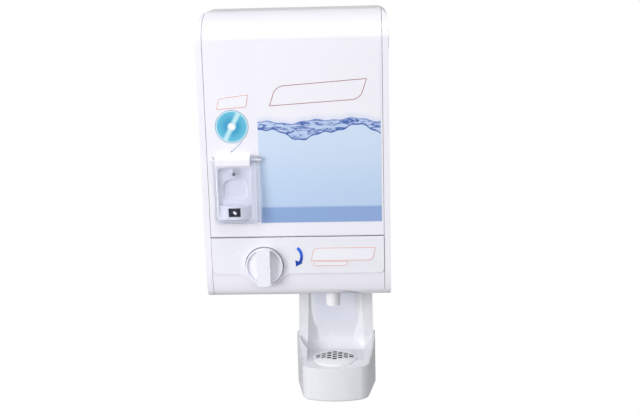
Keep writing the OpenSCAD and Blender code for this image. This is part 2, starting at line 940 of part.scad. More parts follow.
module tube_outlet(r) {
    bend(knob_x + loop_r + arch_r, knob_z, 0, 180, arch_r, r);
    translate([nozzle_x, -pump_y, shell_t + nozzle_flange_h])
        cylinder(r = r, h = knob_z - shell_t - nozzle_flange_h, $fn = 32);
}

module tube_form(r) {
    tube_inlet(r);
    bend(knob_x, knob_z, 180, 180, loop_r, r);
    tube_outlet(r);
}

module pump_tube() {
    color("powderblue") difference() {
        tube_form(tube_r);
        tube_form(tube_bore_r);
    }
}

module pump_screw_places() {
    for (a = [30, 150, 270]) rotate([0, a, 0])
        translate([track_r + cup_wall / 2, 0, 0]) children();
}

module pump_body() {
    color("lightslategray") difference() {
        union() {
            translate([knob_x, 0, knob_z]) {
                along_y(pump_front_y, pump_back_y) circle(track_r + cup_wall);
                for (a = [30, 150, 270]) rotate([0, a, 0])
                    translate([leg_orbit, 0, 0]) along_y(pump_back_y - cut, -base_t) circle(leg_r);
            }
        }
        translate([knob_x, 0, knob_z]) {
            along_y(pump_front_y - cut, pump_back_y - pump_floor_t) circle(track_r);
            along_y(pump_front_y, 0) circle(shaft_r + run_gap);
            pump_screw_places() along_y(pump_front_y - cut, pump_front_y + 8) circle(0.9);
        }
        tube_inlet(tube_r + 0.4);
        tube_outlet(tube_r + 0.4);
    }
}

module pump_cover() {
    color("slategray") translate([knob_x, 0, knob_z]) difference() {
        along_y(pump_front_y - pump_cover_t, pump_front_y) circle(track_r + cup_wall);
        along_y(pump_front_y - 2 * cut - pump_cover_t, 0) circle(shaft_r + run_gap);
        pump_screw_places() along_y(pump_front_y - 2 * pump_cover_t, 0) circle(0.9);
    }
}

module pump_screws() {
    head_y = pump_front_y - pump_cover_t;
    color("silver") translate([knob_x, 0, knob_z]) pump_screw_places() {
        along_y(head_y, head_y + 9) circle(0.9);
        along_y(head_y - 1.4, head_y) circle(1.8);
    }
}

module rotor_places() {
    for (i = [0 : 2]) rotate([0, i * 120, 0]) translate([roller_orbit, 0, 0]) children();
}

module pump_rotor() {
    color("orange") translate([knob_x, 0, knob_z]) difference() {
        union() {
            along_y(-pump_y - rotor_half, -pump_y + rotor_half) circle(rotor_hub_r);
            for (y = [-pump_y - rotor_half, -pump_y + rotor_half - rotor_disc_t])
                along_y(y, y + rotor_disc_t) circle(rotor_disc_r);
        }
        along_y(-housing_d, 0) circle(shaft_r);
        rotor_places() along_y(-housing_d, 0) circle(roller_pin_r);
    }
}

module roller_pins() {
    color("silver") translate([knob_x, 0, knob_z]) rotor_places()
        along_y(-pump_y - rotor_half, -pump_y + rotor_half) circle(roller_pin_r);
}

module roller(i) {
    half = rotor_half - rotor_disc_t - seat_gap;
    color("whitesmoke") translate([knob_x, 0, knob_z])
        rotate([0, i * 120, 0]) translate([roller_orbit, 0, 0])
            along_y(-pump_y - half, -pump_y + half) difference() {
                circle(roller_r);
                circle(roller_pin_r + run_gap);
            }
}

module mouthwash_nozzle() {
    color("white") translate([nozzle_x, -pump_y, 0]) difference() {
        union() {
            difference() {
                translate([0, 0, -nozzle_len]) cylinder(r = nozzle_r, h = nozzle_len + shell_t);
                translate([0, 0, -nozzle_len - cut])
                    cylinder(r = nozzle_cup_r, h = nozzle_len - 8 + cut);
            }
            translate([0, 0, -nozzle_len + 3]) cylinder(r = jet_r, h = nozzle_len - 8);
            translate([0, 0, shell_t]) cylinder(r = nozzle_flange_r, h = nozzle_flange_h);
            translate([0, 0, shell_t + nozzle_flange_h]) cylinder(r = tube_bore_r, h = spigot_h);
        }
        translate([0, 0, -nozzle_len]) cylinder(r = jet_bore_r, h = nozzle_len + 20);
    }
}

module bag_connector() {
    color("royalblue") translate([spout_x, -pump_y, spout_z]) difference() {
        union() {
            cylinder(r = 6, h = barb_h);
            translate([0, 0, barb_h]) cylinder(r = 10, h = flange_h);
        }
        translate([0, 0, -cut]) cylinder(r = tube_bore_r, h = barb_h + flange_h + 2 * cut);
    }
}

module mouthwash_bag() {
    side = bag_w / 2 - bag_corner_r;
    fat = bag_t / 2;
    color("deepskyblue", 0.6) translate([spout_x, -pump_y, bag_z]) difference() {
        union() {
            cylinder(r = 8, h = bag_corner_r + 6);
            hull() {
                for (x = [-side, side], z = [bag_corner_r + 3, bag_h - bag_corner_r])
                    translate([x, 0, z]) sphere(bag_corner_r, $fn = 20);
                for (x = [-side + 22, side - 22], z = [fat + 14, bag_h - fat - 16])
                    translate([x, 0, z]) sphere(fat, $fn = 24);
            }
            translate([-side, -1, bag_h - bag_corner_r])
                cube([2 * side, 2, bag_seal_h + bag_corner_r]);
        }
        translate([0, 0, eyelet_z - bag_z]) along_y(-5, 5) circle(eyelet_r);
    }
}

module bag_hook() {
    color("lightgray") translate([spout_x, 0, 0]) {
        along_y(-base_t - 2, -base_t) translate([0, peg_z]) circle(peg_plate_r);
        along_y(peg_front_y, -base_t) translate([0, peg_z]) circle(peg_r);
        translate([0, peg_front_y, peg_z]) cylinder(r = peg_r, h = peg_tip_h);
        translate([0, peg_front_y, peg_z]) sphere(peg_r, $fn = 32);
    }
}

module station_screw_places() {
    for (side = [-1, 1]) translate([station_x + side * arm_room_x, -9, 0]) children();
}

module scoop_row(row) {
    translate([0, 0, row[0] - 0.05]) linear_extrude(0.1) polygon([
        [-row[1] - 1, -station_d - cut],
        [row[1] + 1, -station_d - cut],
        [row[1], -station_d],
        [row[2], -station_d + row[3]],
        [-row[2], -station_d + row[3]],
        [-row[1], -station_d]
    ]);
}

module dish_row(row) {
    translate([0, 0, deck_z + row[0] - 0.05]) linear_extrude(0.1)
        polygon(rounded(inset(cup_corners(), drip_wall + flange_gap + row[1])));
}

module under_rim() {
    along_x(-station_w, station_w) polygon(rounded([
        [0, cup_z - cut, 0],
        [0, -arm_top_drop, 0],
        [-station_d, -arm_top_drop, 10],
        [-station_d - 30, deck_z + 1.5, 20],
        [-cup_d - 20, rim_z, 0],
        [-cup_d - 20, cup_z - cut, 0]
    ]));
}

module station_frame() {
    fit = drip_wall + flange_gap;
    arm = station_w / 2;
    color("white") translate([station_x, 0, 0]) difference() {
        union() {
            difference() {
                along_y(-station_d, 0)
                    polygon([[-arm, deck_z], [arm, deck_z], [arm - 1, 0], [-arm + arm_taper, 0]]);
                for (i = [0 : len(scoop_rows) - 2]) hull() {
                    scoop_row(scoop_rows[i]);
                    scoop_row(scoop_rows[i + 1]);
                }
                for (side = [-1, 1])
                    translate([side * arm_room_x - arm_room_w / 2, -station_d + shell_t, deck_z + 8])
                        cube([arm_room_w, station_d, -deck_z - 8 - shell_t]);
                for (i = [-3 : 3]) translate([i * 8 - 3.4, -station_d + 9, -56])
                    cube([6.8, station_d, 56 - shell_t]);
            }
            along_z(deck_z - deck_t, deck_z) polygon(rounded(inset(cup_corners(), fit)));
            intersection() {
                difference() {
                    along_z(deck_z, -arm_top_drop) polygon(rounded(inset(cup_corners(), fit)));
                    for (i = [0 : len(dish_rows) - 2]) hull() {
                        dish_row(dish_rows[i]);
                        dish_row(dish_rows[i + 1]);
                    }
                    along_z(deck_z + dish_rows[3][0], 0)
                        polygon(rounded(inset(cup_corners(), fit + dish_rows[3][1])));
                }
                under_rim();
            }
            for (side = [0, 1]) mirror([side, 0, 0])
                translate([arm - 4, -rail_len - 4, rail_z])
                    cube([4 + rail_w, rail_len, rail_h + deck_t]);
        }
        translate([nozzle_x - station_x, -grille_y, deck_z - grille_seat])
            cylinder(r = grille_r + seat_gap, h = grille_seat + 12);
        translate([nozzle_x - station_x, -grille_y, deck_z - 2 * deck_t])
            cylinder(r = drain_r, h = 3 * deck_t);
        translate([-station_x, 0, 0]) station_screw_places()
            translate([0, 0, -shell_t - cut]) cylinder(r = 1.5, h = shell_t + 2 * cut);
    }
}

module station_plate() {
    rows = [for (i = [0 : 2]) [-station_d + scoop_rows[i][3], min(scoop_rows[i][0], -2)]];
    color("lavender") translate([station_x, 0, 0]) along_x(-station_plate_w / 2, station_plate_w / 2)
        polygon([rows[0], rows[1], rows[2],
            rows[2] - [label_t, 0], rows[1] - [label_t, 0], rows[0] - [label_t, 0]]);
}

module station_screws() {
    color("silver") station_screw_places() {
        translate([0, 0, -shell_t]) cylinder(r = 1.5, h = 2 * shell_t + 1);
        translate([0, 0, -shell_t - screw_head_h]) cylinder(r = 2.7, h = screw_head_h);
    }
}

module drip_cup() {
    color("white") translate([station_x, 0, 0]) difference() {
        intersection() {
            along_z(cup_z, -arm_top_drop) polygon(rounded(cup_corners()));
            under_rim();
        }
        along_z(cup_z + shell_t, 0) polygon(rounded(inset(cup_corners(), drip_wall)));
        translate([-cup_half, -4, rail_z - 1]) cube([2 * cup_half, 4, 60]);
        for (side = [0, 1]) mirror([side, 0, 0])
            translate([0, -rail_len - 4.4, rail_z - seat_gap])
                cube([station_w / 2 + rail_w + 0.2, rail_len + 6, rail_h + deck_t + 2 * seat_gap]);
    }
}

module drain_grille() {
    dome_r = (grille_r * grille_r + grille_dome_h * grille_dome_h) / (2 * grille_dome_h);
    seat_z = deck_z - grille_seat;
    color("white") translate([nozzle_x, -grille_y, seat_z]) difference() {
        union() {
            cylinder(r = grille_r, h = grille_rim_t);
            intersection() {
                translate([0, 0, grille_rim_t + grille_dome_h - dome_r]) sphere(dome_r, $fn = 120);
                translate([0, 0, grille_rim_t]) cylinder(r = grille_r, h = grille_dome_h + 1);
            }
        }
        for (i = [0 : len(slot_counts) - 1], j = [0 : slot_counts[i] - 1])
            translate([
                (i - 3) * slot_pitch_x - slot_w / 2,
                (j - (slot_counts[i] - 1) / 2) * slot_pitch_y - slot_l / 2,
                -cut
            ]) cube([slot_w, slot_l, grille_rim_t + grille_dome_h + 2 * cut]);
    }
}

module lock_sleeve() {
    color("silver") difference() {
        union() {
            along_x(half_w - lock_in + 6, half_w) translate([lock_y, lock_z]) circle(sleeve_r);
            along_x(half_w, half_w + lock_face) translate([lock_y, lock_z]) circle(sleeve_r + 1.5);
        }
        along_x(inner_w - 20, half_w + 2 * lock_face)
            translate([lock_y, lock_z]) circle(lock_r + run_gap);
    }
}

module lock_nut() {
    nut_x = half_w - shell_t;
    color("silver") along_x(nut_x - 3, nut_x) translate([lock_y, lock_z]) difference() {
        circle(sleeve_r + 4);
        circle(sleeve_r);
    }
}

module lock_cylinder() {
    color("silver") difference() {
        along_x(cam_x + cam_t, half_w + lock_face) translate([lock_y, lock_z]) circle(lock_r);
        translate([half_w + lock_face - 2, lock_y - 2.6, lock_z - 0.6]) cube([3, 5.2, 1.2]);
    }
}

module lock_cam() {
    color("dimgray") along_x(cam_x, cam_x + cam_t) translate([lock_y, lock_z]) {
        circle(lock_r - 1);
        translate([cam_half - cam_len, -cam_half]) square([cam_len - cam_half, 2 * cam_half]);
        translate([cam_half - cam_len, 0]) circle(cam_half);
    }
}

at_wall() rear_base();
at_wall() left_side_panel();
at_wall() right_side_panel();
at_wall() lower_cover();
at_wall() control_fascia();
at_wall() instruction_plate();
at_wall() arrow_plate();
at_wall() panel_screws();
at_wall() door_hinge_pins();
at_wall() lock_sleeve();
at_wall() lock_nut();
at_wall() pump_body();
at_wall() pump_cover();
at_wall() pump_screws();
at_wall() pump_tube();
at_wall() mouthwash_bag();
at_wall() bag_connector();
at_wall() bag_hook();
at_wall() mouthwash_nozzle();
at_wall() station_frame();
at_wall() station_plate();
at_wall() station_screws();
at_wall() drip_cup();
at_wall() drain_grille();
at_wall() front_door();
at_wall() front_label();
at_wall() reel_badge();
at_wall() floss_tag();
at_wall() floss_bay();
at_wall() floss_brow();
at_wall() brow_screws();
at_wall() floss_nozzle();
at_wall() cutter_holder();
at_wall() cutter_blade();
at_wall() hood_pins();
at_wall() reel_spindle();
at_wall() spindle_cap();
at_wall() tension_washer();
at_wall() strand_guide();
at_wall() floss_strand();
at_wall() reel_spool();
at_wall() floss_winding();
at_wall() clear_hood();
at_wall() knob();
at_wall() knob_shaft();
at_wall() shaft_clip();
at_wall() pump_rotor();
at_wall() roller_pins();
at_wall() roller(0);  // roller_1
at_wall() roller(1);  // roller_2
at_wall() roller(2);  // roller_3
at_wall() lock_cylinder();
at_wall() lock_cam();
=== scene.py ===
import math

import bmesh
import bpy
from mathutils import Matrix, Vector


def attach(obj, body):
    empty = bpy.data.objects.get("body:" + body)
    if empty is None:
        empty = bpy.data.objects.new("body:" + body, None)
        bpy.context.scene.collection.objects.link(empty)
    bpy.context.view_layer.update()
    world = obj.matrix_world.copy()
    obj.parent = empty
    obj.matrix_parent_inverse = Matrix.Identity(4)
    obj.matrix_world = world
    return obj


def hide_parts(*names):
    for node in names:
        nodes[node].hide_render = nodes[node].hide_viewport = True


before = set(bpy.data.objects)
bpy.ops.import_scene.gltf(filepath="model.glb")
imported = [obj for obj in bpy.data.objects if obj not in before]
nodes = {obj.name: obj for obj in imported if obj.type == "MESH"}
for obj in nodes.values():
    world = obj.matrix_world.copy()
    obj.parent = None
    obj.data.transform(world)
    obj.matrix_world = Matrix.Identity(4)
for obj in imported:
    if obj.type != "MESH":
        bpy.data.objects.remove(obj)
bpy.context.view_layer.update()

# Wall plate: the flat back of the housing, which four screws hold against the wall. It is
# moulded in satin white plastic and has a flange along both sides.
def paint(r, g, b):
    """A colour from its screen values of 0 to 255."""
    return tuple(
        v / 255 / 12.92 if v < 10.3 else ((v / 255 + 0.055) / 1.055) ** 2.4 for v in (r, g, b)
    ) + (1,)


def link(made, source, target):
    made.node_tree.links.new(source, target)


def noise(made, scale, detail=3.0):
    """Noise on the object's own coordinates; scale is in waves to the metre."""
    tree = made.node_tree
    place = tree.nodes.new("ShaderNodeTexCoord")
    grain = tree.nodes.new("ShaderNodeTexNoise")
    grain.inputs["Scale"].default_value = scale
    grain.inputs["Detail"].default_value = detail
    link(made, place.outputs["Object"], grain.inputs["Vector"])
    return grain.outputs["Fac"]


def spread(made, source, low, high):
    """Maps noise, which lies round a half, to values from low to high."""
    span = made.node_tree.nodes.new("ShaderNodeMapRange")
    span.inputs["From Min"].default_value = 0.3
    span.inputs["From Max"].default_value = 0.7
    span.inputs["To Min"].default_value = low
    span.inputs["To Max"].default_value = high
    link(made, source, span.inputs["Value"])
    return span.outputs["Result"]


def blended(made, source, first, second):
    """A colour between two, where the source goes from 0.3 to 0.7."""
    ramp = made.node_tree.nodes.new("ShaderNodeValToRGB")
    ramp.color_ramp.elements[0].position = 0.3
    ramp.color_ramp.elements[1].position = 0.7
    ramp.color_ramp.elements[0].color = first
    ramp.color_ramp.elements[1].color = second
    link(made, source, ramp.inputs["Fac"])
    return ramp.outputs["Color"]


def relief(made, source, height, strength):
    """A bump of that height in metres."""
    bump = made.node_tree.nodes.new("ShaderNodeBump")
    bump.inputs["Distance"].default_value = height
    bump.inputs["Strength"].default_value = strength
    link(made, source, bump.inputs["Height"])
    return bump.outputs["Normal"]


def material(name):
    made = bpy.data.materials.new(name)
    made.use_nodes = True
    return made, made.node_tree.nodes["Principled BSDF"].inputs


def moulded(name, colour, roughness=0.22, coat=0.0, peel=0.00002):
    """Moulded plastic: faint flow marks in its colour, uneven gloss and a fine orange peel."""
    made, shader = material(name)
    flow = noise(made, 16)
    worn = tuple(c * 0.975 for c in colour[:3]) + (1,)
    link(made, blended(made, flow, worn, colour), shader["Base Color"])
    link(made, spread(made, noise(made, 45, 4), roughness * 0.8, roughness * 1.25),
         shader["Roughness"])
    link(made, relief(made, noise(made, 420, 2), peel, 0.5), shader["Normal"])
    shader["Coat Weight"].default_value = coat
    shader["Coat Roughness"].default_value = 0.08
    return made


def finish(piece, made):
    piece.data.materials.clear()
    piece.data.materials.append(made)


satin_white = moulded("satin_white", paint(232, 232, 239), 0.38)
finish(nodes["rear_base"], satin_white)

# Side panels: two long glossy mouldings that close the housing left and right. Their front
# edge follows the rolled foot and the sloped crown, and the top corner is rounded.

# Places are in millimetres: x to the right, y from the wall (the front is negative) and z up
# from the housing's lower edge, which lies WALL_CENTRE below the frame's zero.
WALL_CENTRE = 185
HALF_WIDTH, FRONT, TOP = 110, -105, 337
COVER_SIDE = 102.3
PANEL_SIDE = 102.8
SEAM, DOOR_FOOT = 74.7, 77.8
HINGE = (0, -102.5, DOOR_FOOT)
LOCK_AXIS = (0, -40, 300)


def at(x, y, z):
    """A point in millimetres, with its height counted from the housing's lower edge."""
    return Vector((x, y, z - WALL_CENTRE)) / 1000


def in_mm(place):
    return Vector((place.x * 1000, place.y * 1000, place.z * 1000 + WALL_CENTRE))


def settle(name):
    """Names the new primitive and puts its place into its mesh."""
    made = bpy.context.object
    made.name = made.data.name = name
    bpy.ops.object.transform_apply(location=True, rotation=True, scale=True)
    return made


def block(name, low, high):
    """A box between two corners."""
    bpy.ops.object.select_all(action="DESELECT")
    low, high = at(*low), at(*high)
    bpy.ops.mesh.primitive_cube_add(size=1, location=(low + high) / 2, scale=high - low)
    return settle(name)


def rod(name, axis, centre, radius, start, end, sides=64):
    """A cylinder along X, Y or Z, from start to end on that axis."""
    bpy.ops.object.select_all(action="DESELECT")
    middle = list(centre)
    middle["XYZ".index(axis)] = (start + end) / 2
    turn = {"X": (0, math.pi / 2, 0), "Y": (math.pi / 2, 0, 0), "Z": (0, 0, 0)}[axis]
    bpy.ops.mesh.primitive_cylinder_add(vertices=sides, radius=radius / 1000,
                                        depth=(end - start) / 1000, location=at(*middle),
                                        rotation=turn)
    return settle(name)


def activate(piece, *others):
    """Selects the pieces alone and makes the first one active."""
    bpy.ops.object.select_all(action="DESELECT")
    for chosen in (piece, *others):
        chosen.select_set(True)
    bpy.context.view_layer.objects.active = piece


def edit(piece):
    activate(piece)
    bpy.ops.object.mode_set(mode="EDIT")


def done():
    bpy.ops.object.mode_set(mode="OBJECT")


def pick(piece, kind, test):
    """In edit mode, selects what passes test(middle in mm, direction or normal) and
    returns the middles."""
    bpy.ops.mesh.select_mode(type=kind)
    bpy.ops.mesh.select_all(action="DESELECT")
    mesh = bmesh.from_edit_mesh(piece.data)
    mesh.normal_update()
    if kind == "VERT":
        parts = [(v, v.co, v.normal) for v in mesh.verts]
    elif kind == "EDGE":
        ends = [(e, e.verts[0].co, e.verts[1].co) for e in mesh.edges]
        parts = [(e, (a + b) / 2, (b - a).normalized()) for e, a, b in ends]
    else:
        parts = [(f, f.calc_center_median(), f.normal) for f in mesh.faces]
    middles = []
    for part, middle, direction in parts:
        if test(in_mm(middle), direction):
            part.select_set(True)
            middles.append(in_mm(middle))
    mesh.select_flush_mode()
    bmesh.update_edit_mesh(piece.data)
    return middles


def fillet(piece, radius, steps, test):
    """Rounds the edges that pass the test to a radius in mm."""
    edit(piece)
    pick(piece, "EDGE", test)
    mesh = bmesh.from_edit_mesh(piece.data)
    turn = max(e.calc_face_angle(0) for e in mesh.edges if e.select)
    bpy.ops.mesh.bevel(offset=radius / 1000 * math.tan(turn / 2), offset_type="OFFSET",
                       segments=steps, profile=0.5, affect="EDGES", clamp_overlap=False)
    done()


def slice_off(piece, point, normal):
    """Takes away what lies beyond a plane, and closes the cut."""
    edit(piece)
    bpy.ops.mesh.select_all(action="SELECT")
    bpy.ops.mesh.bisect(plane_co=at(*point), plane_no=normal, use_fill=True, clear_outer=True)
    done()


def apply(piece, modifier):
    activate(piece)
    bpy.ops.object.modifier_apply(modifier=modifier.name)


def carve(piece, tool, way="DIFFERENCE"):
    """Cuts a piece with a tool, joins them or keeps what they share; the tool is used up."""
    cut = piece.modifiers.new("cut", "BOOLEAN")
    cut.operation, cut.object, cut.solver = way, tool, "EXACT"
    apply(piece, cut)
    bpy.data.objects.remove(tool)
    edit(piece)
    bpy.ops.mesh.select_all(action="SELECT")
    bpy.ops.mesh.remove_doubles(threshold=0.000002)
    bpy.ops.mesh.dissolve_limited(angle_limit=0.004)
    done()


def ease(piece, width, steps=3, angle=32):
    """Breaks the sharp edges of a finished moulding and smooths its curves."""
    soft = piece.modifiers.new("ease", "BEVEL")
    soft.width, soft.segments = width / 1000, steps
    soft.limit_method, soft.angle_limit = "ANGLE", math.radians(angle)
    soft.miter_outer = "MITER_ARC"
    apply(piece, soft)
    bpy.ops.object.shade_smooth_by_angle(angle=math.radians(angle))
    even = piece.modifiers.new("even", "WEIGHTED_NORMAL")
    even.keep_sharp = True
    apply(piece, even)


def shade_inside(piece, made, test):
    """Paints shade on the faces that pass the test, with a duller, darker material."""
    piece.data.materials.append(made)
    edit(piece)
    pick(piece, "FACE", test)
    piece.active_material_index = len(piece.data.materials) - 1
    bpy.ops.object.material_slot_assign()
    done()


def place_on(piece, body, slot, made, *cad):
    """Gives a piece its material, puts it on its body and lets it stand for CAD nodes, which it
    hides; slot is not used.
    """
    finish(piece, made)
    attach(piece, body)
    if cad:
        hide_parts(*cad)


def housing_slice(name, x0, x1, t=0.0, back=-3.0):
    """The housing's closed side form between two widths, drawn in by t on all its sides."""
    made = block(name, (x0, FRONT + t, t), (x1, back, TOP - t))
    foot_slope, crown_slope = ((-99.1, 0), (-22, -5.9)), ((FRONT, 317.7), (-19.3, 27.5))
    for (y, z), slope in (foot_slope, crown_slope):
        out = Vector((0, *slope)).normalized()
        slice_off(made, Vector((0, y, z)) - out * t, out)
    edit(made)
    corners = pick(made, "EDGE", lambda m, d: abs(d.x) > 0.99 and m.y < back - 1)
    done()
    radii_upwards = (14, 90, 22, 70)
    for corner, radius in zip(sorted(corners, key=lambda m: m.z), radii_upwards):
        fillet(made, max(radius - t, 0.5), 14, lambda m, d, c=corner:
               abs(d.x) > 0.99 and math.hypot(m.y - c.y, m.z - c.z) < 0.05)
    return made


def front_outline(t):
    """The housing's front view as a thick plate, for rounding what reaches its corners."""
    made = block("outline", (-HALF_WIDTH + t, -107, t), (HALF_WIDTH - t, 3, TOP - t))
    fillet(made, 12 - t, 10, lambda m, d: abs(d.y) > 0.99 and m.z > 300)
    fillet(made, 4 - t, 6, lambda m, d: abs(d.y) > 0.99 and m.z < 5)
    return made


shell_white = moulded("shell_white", paint(241, 240, 249), 0.2, 0.3)
for side, name in ((-1, "left"), (1, "right")):
    panel = housing_slice(name + "_side", *sorted((side * PANEL_SIDE, side * HALF_WIDTH)))
    carve(panel, front_outline(0), "INTERSECT")
    hollow = housing_slice("hollow", *sorted((side * 101.8, side * 107.5)), 2.5)
    carve(hollow, front_outline(2.5), "INTERSECT")
    carve(panel, hollow)
    boss = rod("boss", "X", HINGE, 3.85, *sorted((side * PANEL_SIDE, side * 108)))
    carve(boss, housing_slice("hollow", *sorted((side * 102, side * 109)), 0.3), "INTERSECT")
    carve(panel, boss, "UNION")
    carve(panel, rod("pin_hole", "X", HINGE, 1.31, *sorted((side * 101, side * 107.5)), 32))
    if side > 0:
        carve(panel, rod("lock_hole", "X", LOCK_AXIS, 10.02, 100, 112))
    ease(panel, 1.3, 4)
    place_on(panel, "housing", "white_shell", shell_white, name + "_side_panel")

# Fasteners and wire parts: zinc-plated screws, hinge and roller pins, the knob's shaft and
# clip, and the reel's washer and wire guide. Their sharp edges are broken.
def plated(name, colour, roughness, grain):
    """Metal with patchy gloss and fine marks; grain is in waves to the metre."""
    made, shader = material(name)
    dull = tuple(c * 0.84 for c in colour[:3]) + (1,)
    link(made, blended(made, noise(made, grain / 6), dull, colour), shader["Base Color"])
    shader["Metallic"].default_value = 1
    link(made, spread(made, noise(made, grain, 5), roughness * 0.7, roughness * 1.4),
         shader["Roughness"])
    link(made, relief(made, noise(made, grain * 2, 4), 0.00001, 0.4), shader["Normal"])
    return made


def break_edges(name, width, steps=2):
    """Eases the sharp edges of a piece that keeps its solid's mesh."""
    piece = nodes[name]
    piece.modifiers.new("weld", "WELD").merge_threshold = 0.000005
    flat = piece.modifiers.new("flat", "DECIMATE")
    flat.decimate_type, flat.angle_limit = "DISSOLVE", math.radians(0.5)
    soft = piece.modifiers.new("soft", "BEVEL")
    soft.width, soft.segments = width / 1000, steps
    soft.limit_method, soft.angle_limit = "ANGLE", math.radians(35)
    piece.modifiers.new("even", "WEIGHTED_NORMAL").keep_sharp = True
    return piece


zinc = plated("zinc_steel", paint(196, 199, 204), 0.32, 900)
for name in ("panel_screws", "pump_screws", "station_screws", "brow_screws", "roller_pins",
             "door_hinge_pins", "strand_guide", "tension_washer", "knob_shaft", "shaft_clip"):
    finish(break_edges(name, 0.12), zinc)

# Lock: a chromed barrel in a sleeve through the right side panel, held by a nut. Its cam
# swings up in front of the door's catch.
chrome = plated("lock_chrome", paint(214, 216, 220), 0.12, 500)
for name in ("lock_sleeve", "lock_nut", "lock_cylinder", "lock_cam"):
    finish(break_edges(name, 0.3, 3), chrome)

# Lower cover: the glossy moulding under the door, with its belly drawn in and rolled under
# and a shallow arch over the nozzle. It has lips along its sides, an opening for the knob's
# plate and a hole for the nozzle.
KNOB_X, KNOB_Z = -40, 41
KNOB_AXIS = (KNOB_X, 0, KNOB_Z)
NOZZLE_AXIS = (39, -60, 0)


def hollow_out(piece):
    """Opens a cover towards the wall and leaves lips 10 mm deep at both its ends."""
    carve(piece, housing_slice("hollow", -99.8, 99.8, 2.5, 1.0))
    carve(piece, housing_slice("hollow", -103.3, 103.3, 12.5, 1.0))


def fascia_form(name, grow, front, back):
    """The strip under the seam with its round lobe below the knob."""
    side, low, lobe = COVER_SIDE + grow, 30 - grow, 27.5 + grow
    strip = block(name, (-side, front, low), (side, back, SEAM + grow))
    fillet(strip, 6, 8, lambda m, d: abs(d.y) > 0.99 and m.z < low + 0.1)
    wedge = block("lobe", (KNOB_X - lobe, front, KNOB_Z - lobe),
                  (KNOB_X + lobe, back, KNOB_Z + lobe))
    edit(wedge)
    bpy.ops.mesh.select_all(action="SELECT")
    bpy.ops.transform.rotate(value=math.pi / 4, orient_axis="Y", center_override=at(*KNOB_AXIS))
    done()
    fillet(wedge, lobe, 32, lambda m, d: abs(d.y) > 0.99 and m.z < 10)
    slice_off(wedge, (0, 0, 70), (0, 0, 1))
    carve(strip, wedge, "UNION")
    reach = lobe * math.sqrt(2) + low - KNOB_Z
    fillet(strip, 10, 10, lambda m, d: abs(d.y) > 0.99 and abs(m.z - low) < 0.1
           and abs(abs(m.x - KNOB_X) - reach) < 0.6)
    return strip


cover = housing_slice("cover_shell", -COVER_SIDE, COVER_SIDE)
slice_off(cover, (0, 0, SEAM), (0, 0, 1))
hollow_out(cover)
carve(cover, fascia_form("opening", 0.35, -107, -104))
carve(cover, rod("dish_hole", "Y", KNOB_AXIS, 24.6, -107, -93))
carve(cover, rod("nozzle_hole", "Z", NOZZLE_AXIS, 8.95, -2, 6))
skin = housing_slice("skin", -20, 100)
carve(skin, housing_slice("inner_skin", -25, 105, 0.7, 1.0))
carve(skin, rod("arch", "Y", (42, 0, -97), 105, -110, -60, 160), "INTERSECT")
carve(cover, skin)
ease(cover, 0.7)
place_on(cover, "housing", "white_shell", shell_white, "lower_cover")

# Knob plate: a thin glossy plate let into the lower cover. A round dish is sunk into it,
# in which the knob turns, and its lower edge runs round the dish.
fascia = fascia_form("knob_plate", 0, -106, -104)
carve(fascia, rod("dish", "Y", KNOB_AXIS, 24.3, -105, -100, 96), "UNION")
carve(fascia, rod("dish_room", "Y", KNOB_AXIS, 22.8, -108, -102, 96))
carve(fascia, rod("shaft_hole", "Y", KNOB_AXIS, 4.06, -108, -90, 48))
ease(fascia, 0.45)
fascia_white = moulded("fascia_white", paint(237, 237, 245), 0.24, 0.2)
place_on(fascia, "housing", "fascia_white", fascia_white, "control_fascia")
# Painted shade: a dark, dull plastic for faces that lie in shade. On the knob plate it darkens
# the inner wall of the dish in the narrow gap round the knob, and the shaft hole.
painted_shade = moulded("painted_shade_plastic", paint(44, 45, 66), 0.5)
shade_inside(fascia, painted_shade, lambda m, d: abs(d.y) < 0.5 and m.y > -105.7
             and math.hypot(m.x - KNOB_X, m.z - KNOB_Z) < 23.2)

# Printed plates: thin white films on the knob plate, with an orange line round each field,
# and a curved blue arrow that shows which way the knob turns. They are glued on.
def reckon(made, way, *values):
    """A sum on sockets and numbers."""
    step = made.node_tree.nodes.new("ShaderNodeMath")
    step.operation = way
    for socket, value in zip(step.inputs, values):
        if isinstance(value, (int, float)):
            socket.default_value = value
        else:
            link(made, value, socket)
    return step.outputs[0]


def own_xyz(made):
    """The object's own coordinates, as three sockets."""
    place = made.node_tree.nodes.new("ShaderNodeTexCoord")
    parts = made.node_tree.nodes.new("ShaderNodeSeparateXYZ")
    link(made, place.outputs["Object"], parts.inputs[0])
    return parts.outputs


def across_and_up(made):
    """The place on the print, in mm to the right and up from the housing's lower edge."""
    parts = own_xyz(made)
    return (reckon(made, "MULTIPLY", parts["X"], 1000.0),
            reckon(made, "MULTIPLY_ADD", parts["Z"], 1000.0, float(WALL_CENTRE)))


def rising(made, value, low, high):
    """Goes softly from 0 to 1 while a value goes from low to high."""
    span = made.node_tree.nodes.new("ShaderNodeMapRange")
    span.interpolation_type = "SMOOTHSTEP"
    span.inputs["From Min"].default_value = low
    span.inputs["From Max"].default_value = high
    link(made, value, span.inputs["Value"])
    return span.outputs["Result"]


def layer(made, share, under, over):
    """Prints one ink over another where the share is 1."""
    mix = made.node_tree.nodes.new("ShaderNodeMix")
    mix.data_type = "RGBA"
    link(made, share, mix.inputs[0])
    for socket, ink in ((mix.inputs[6], under), (mix.inputs[7], over)):
        if isinstance(ink, tuple):
            socket.default_value = ink
        else:
            link(made, ink, socket)
    return mix.outputs[2]


def swell(made, across, level, waves):
    """A wavy line: its level, and for each wave its height, length and start in mm."""
    line = level
    for height, length, start in waves:
        turn = reckon(made, "MULTIPLY_ADD", across, 2 * math.pi / length,
                      -2 * math.pi * start / length)
        line = reckon(made, "MULTIPLY_ADD", reckon(made, "SINE", turn), height, line)
    return line


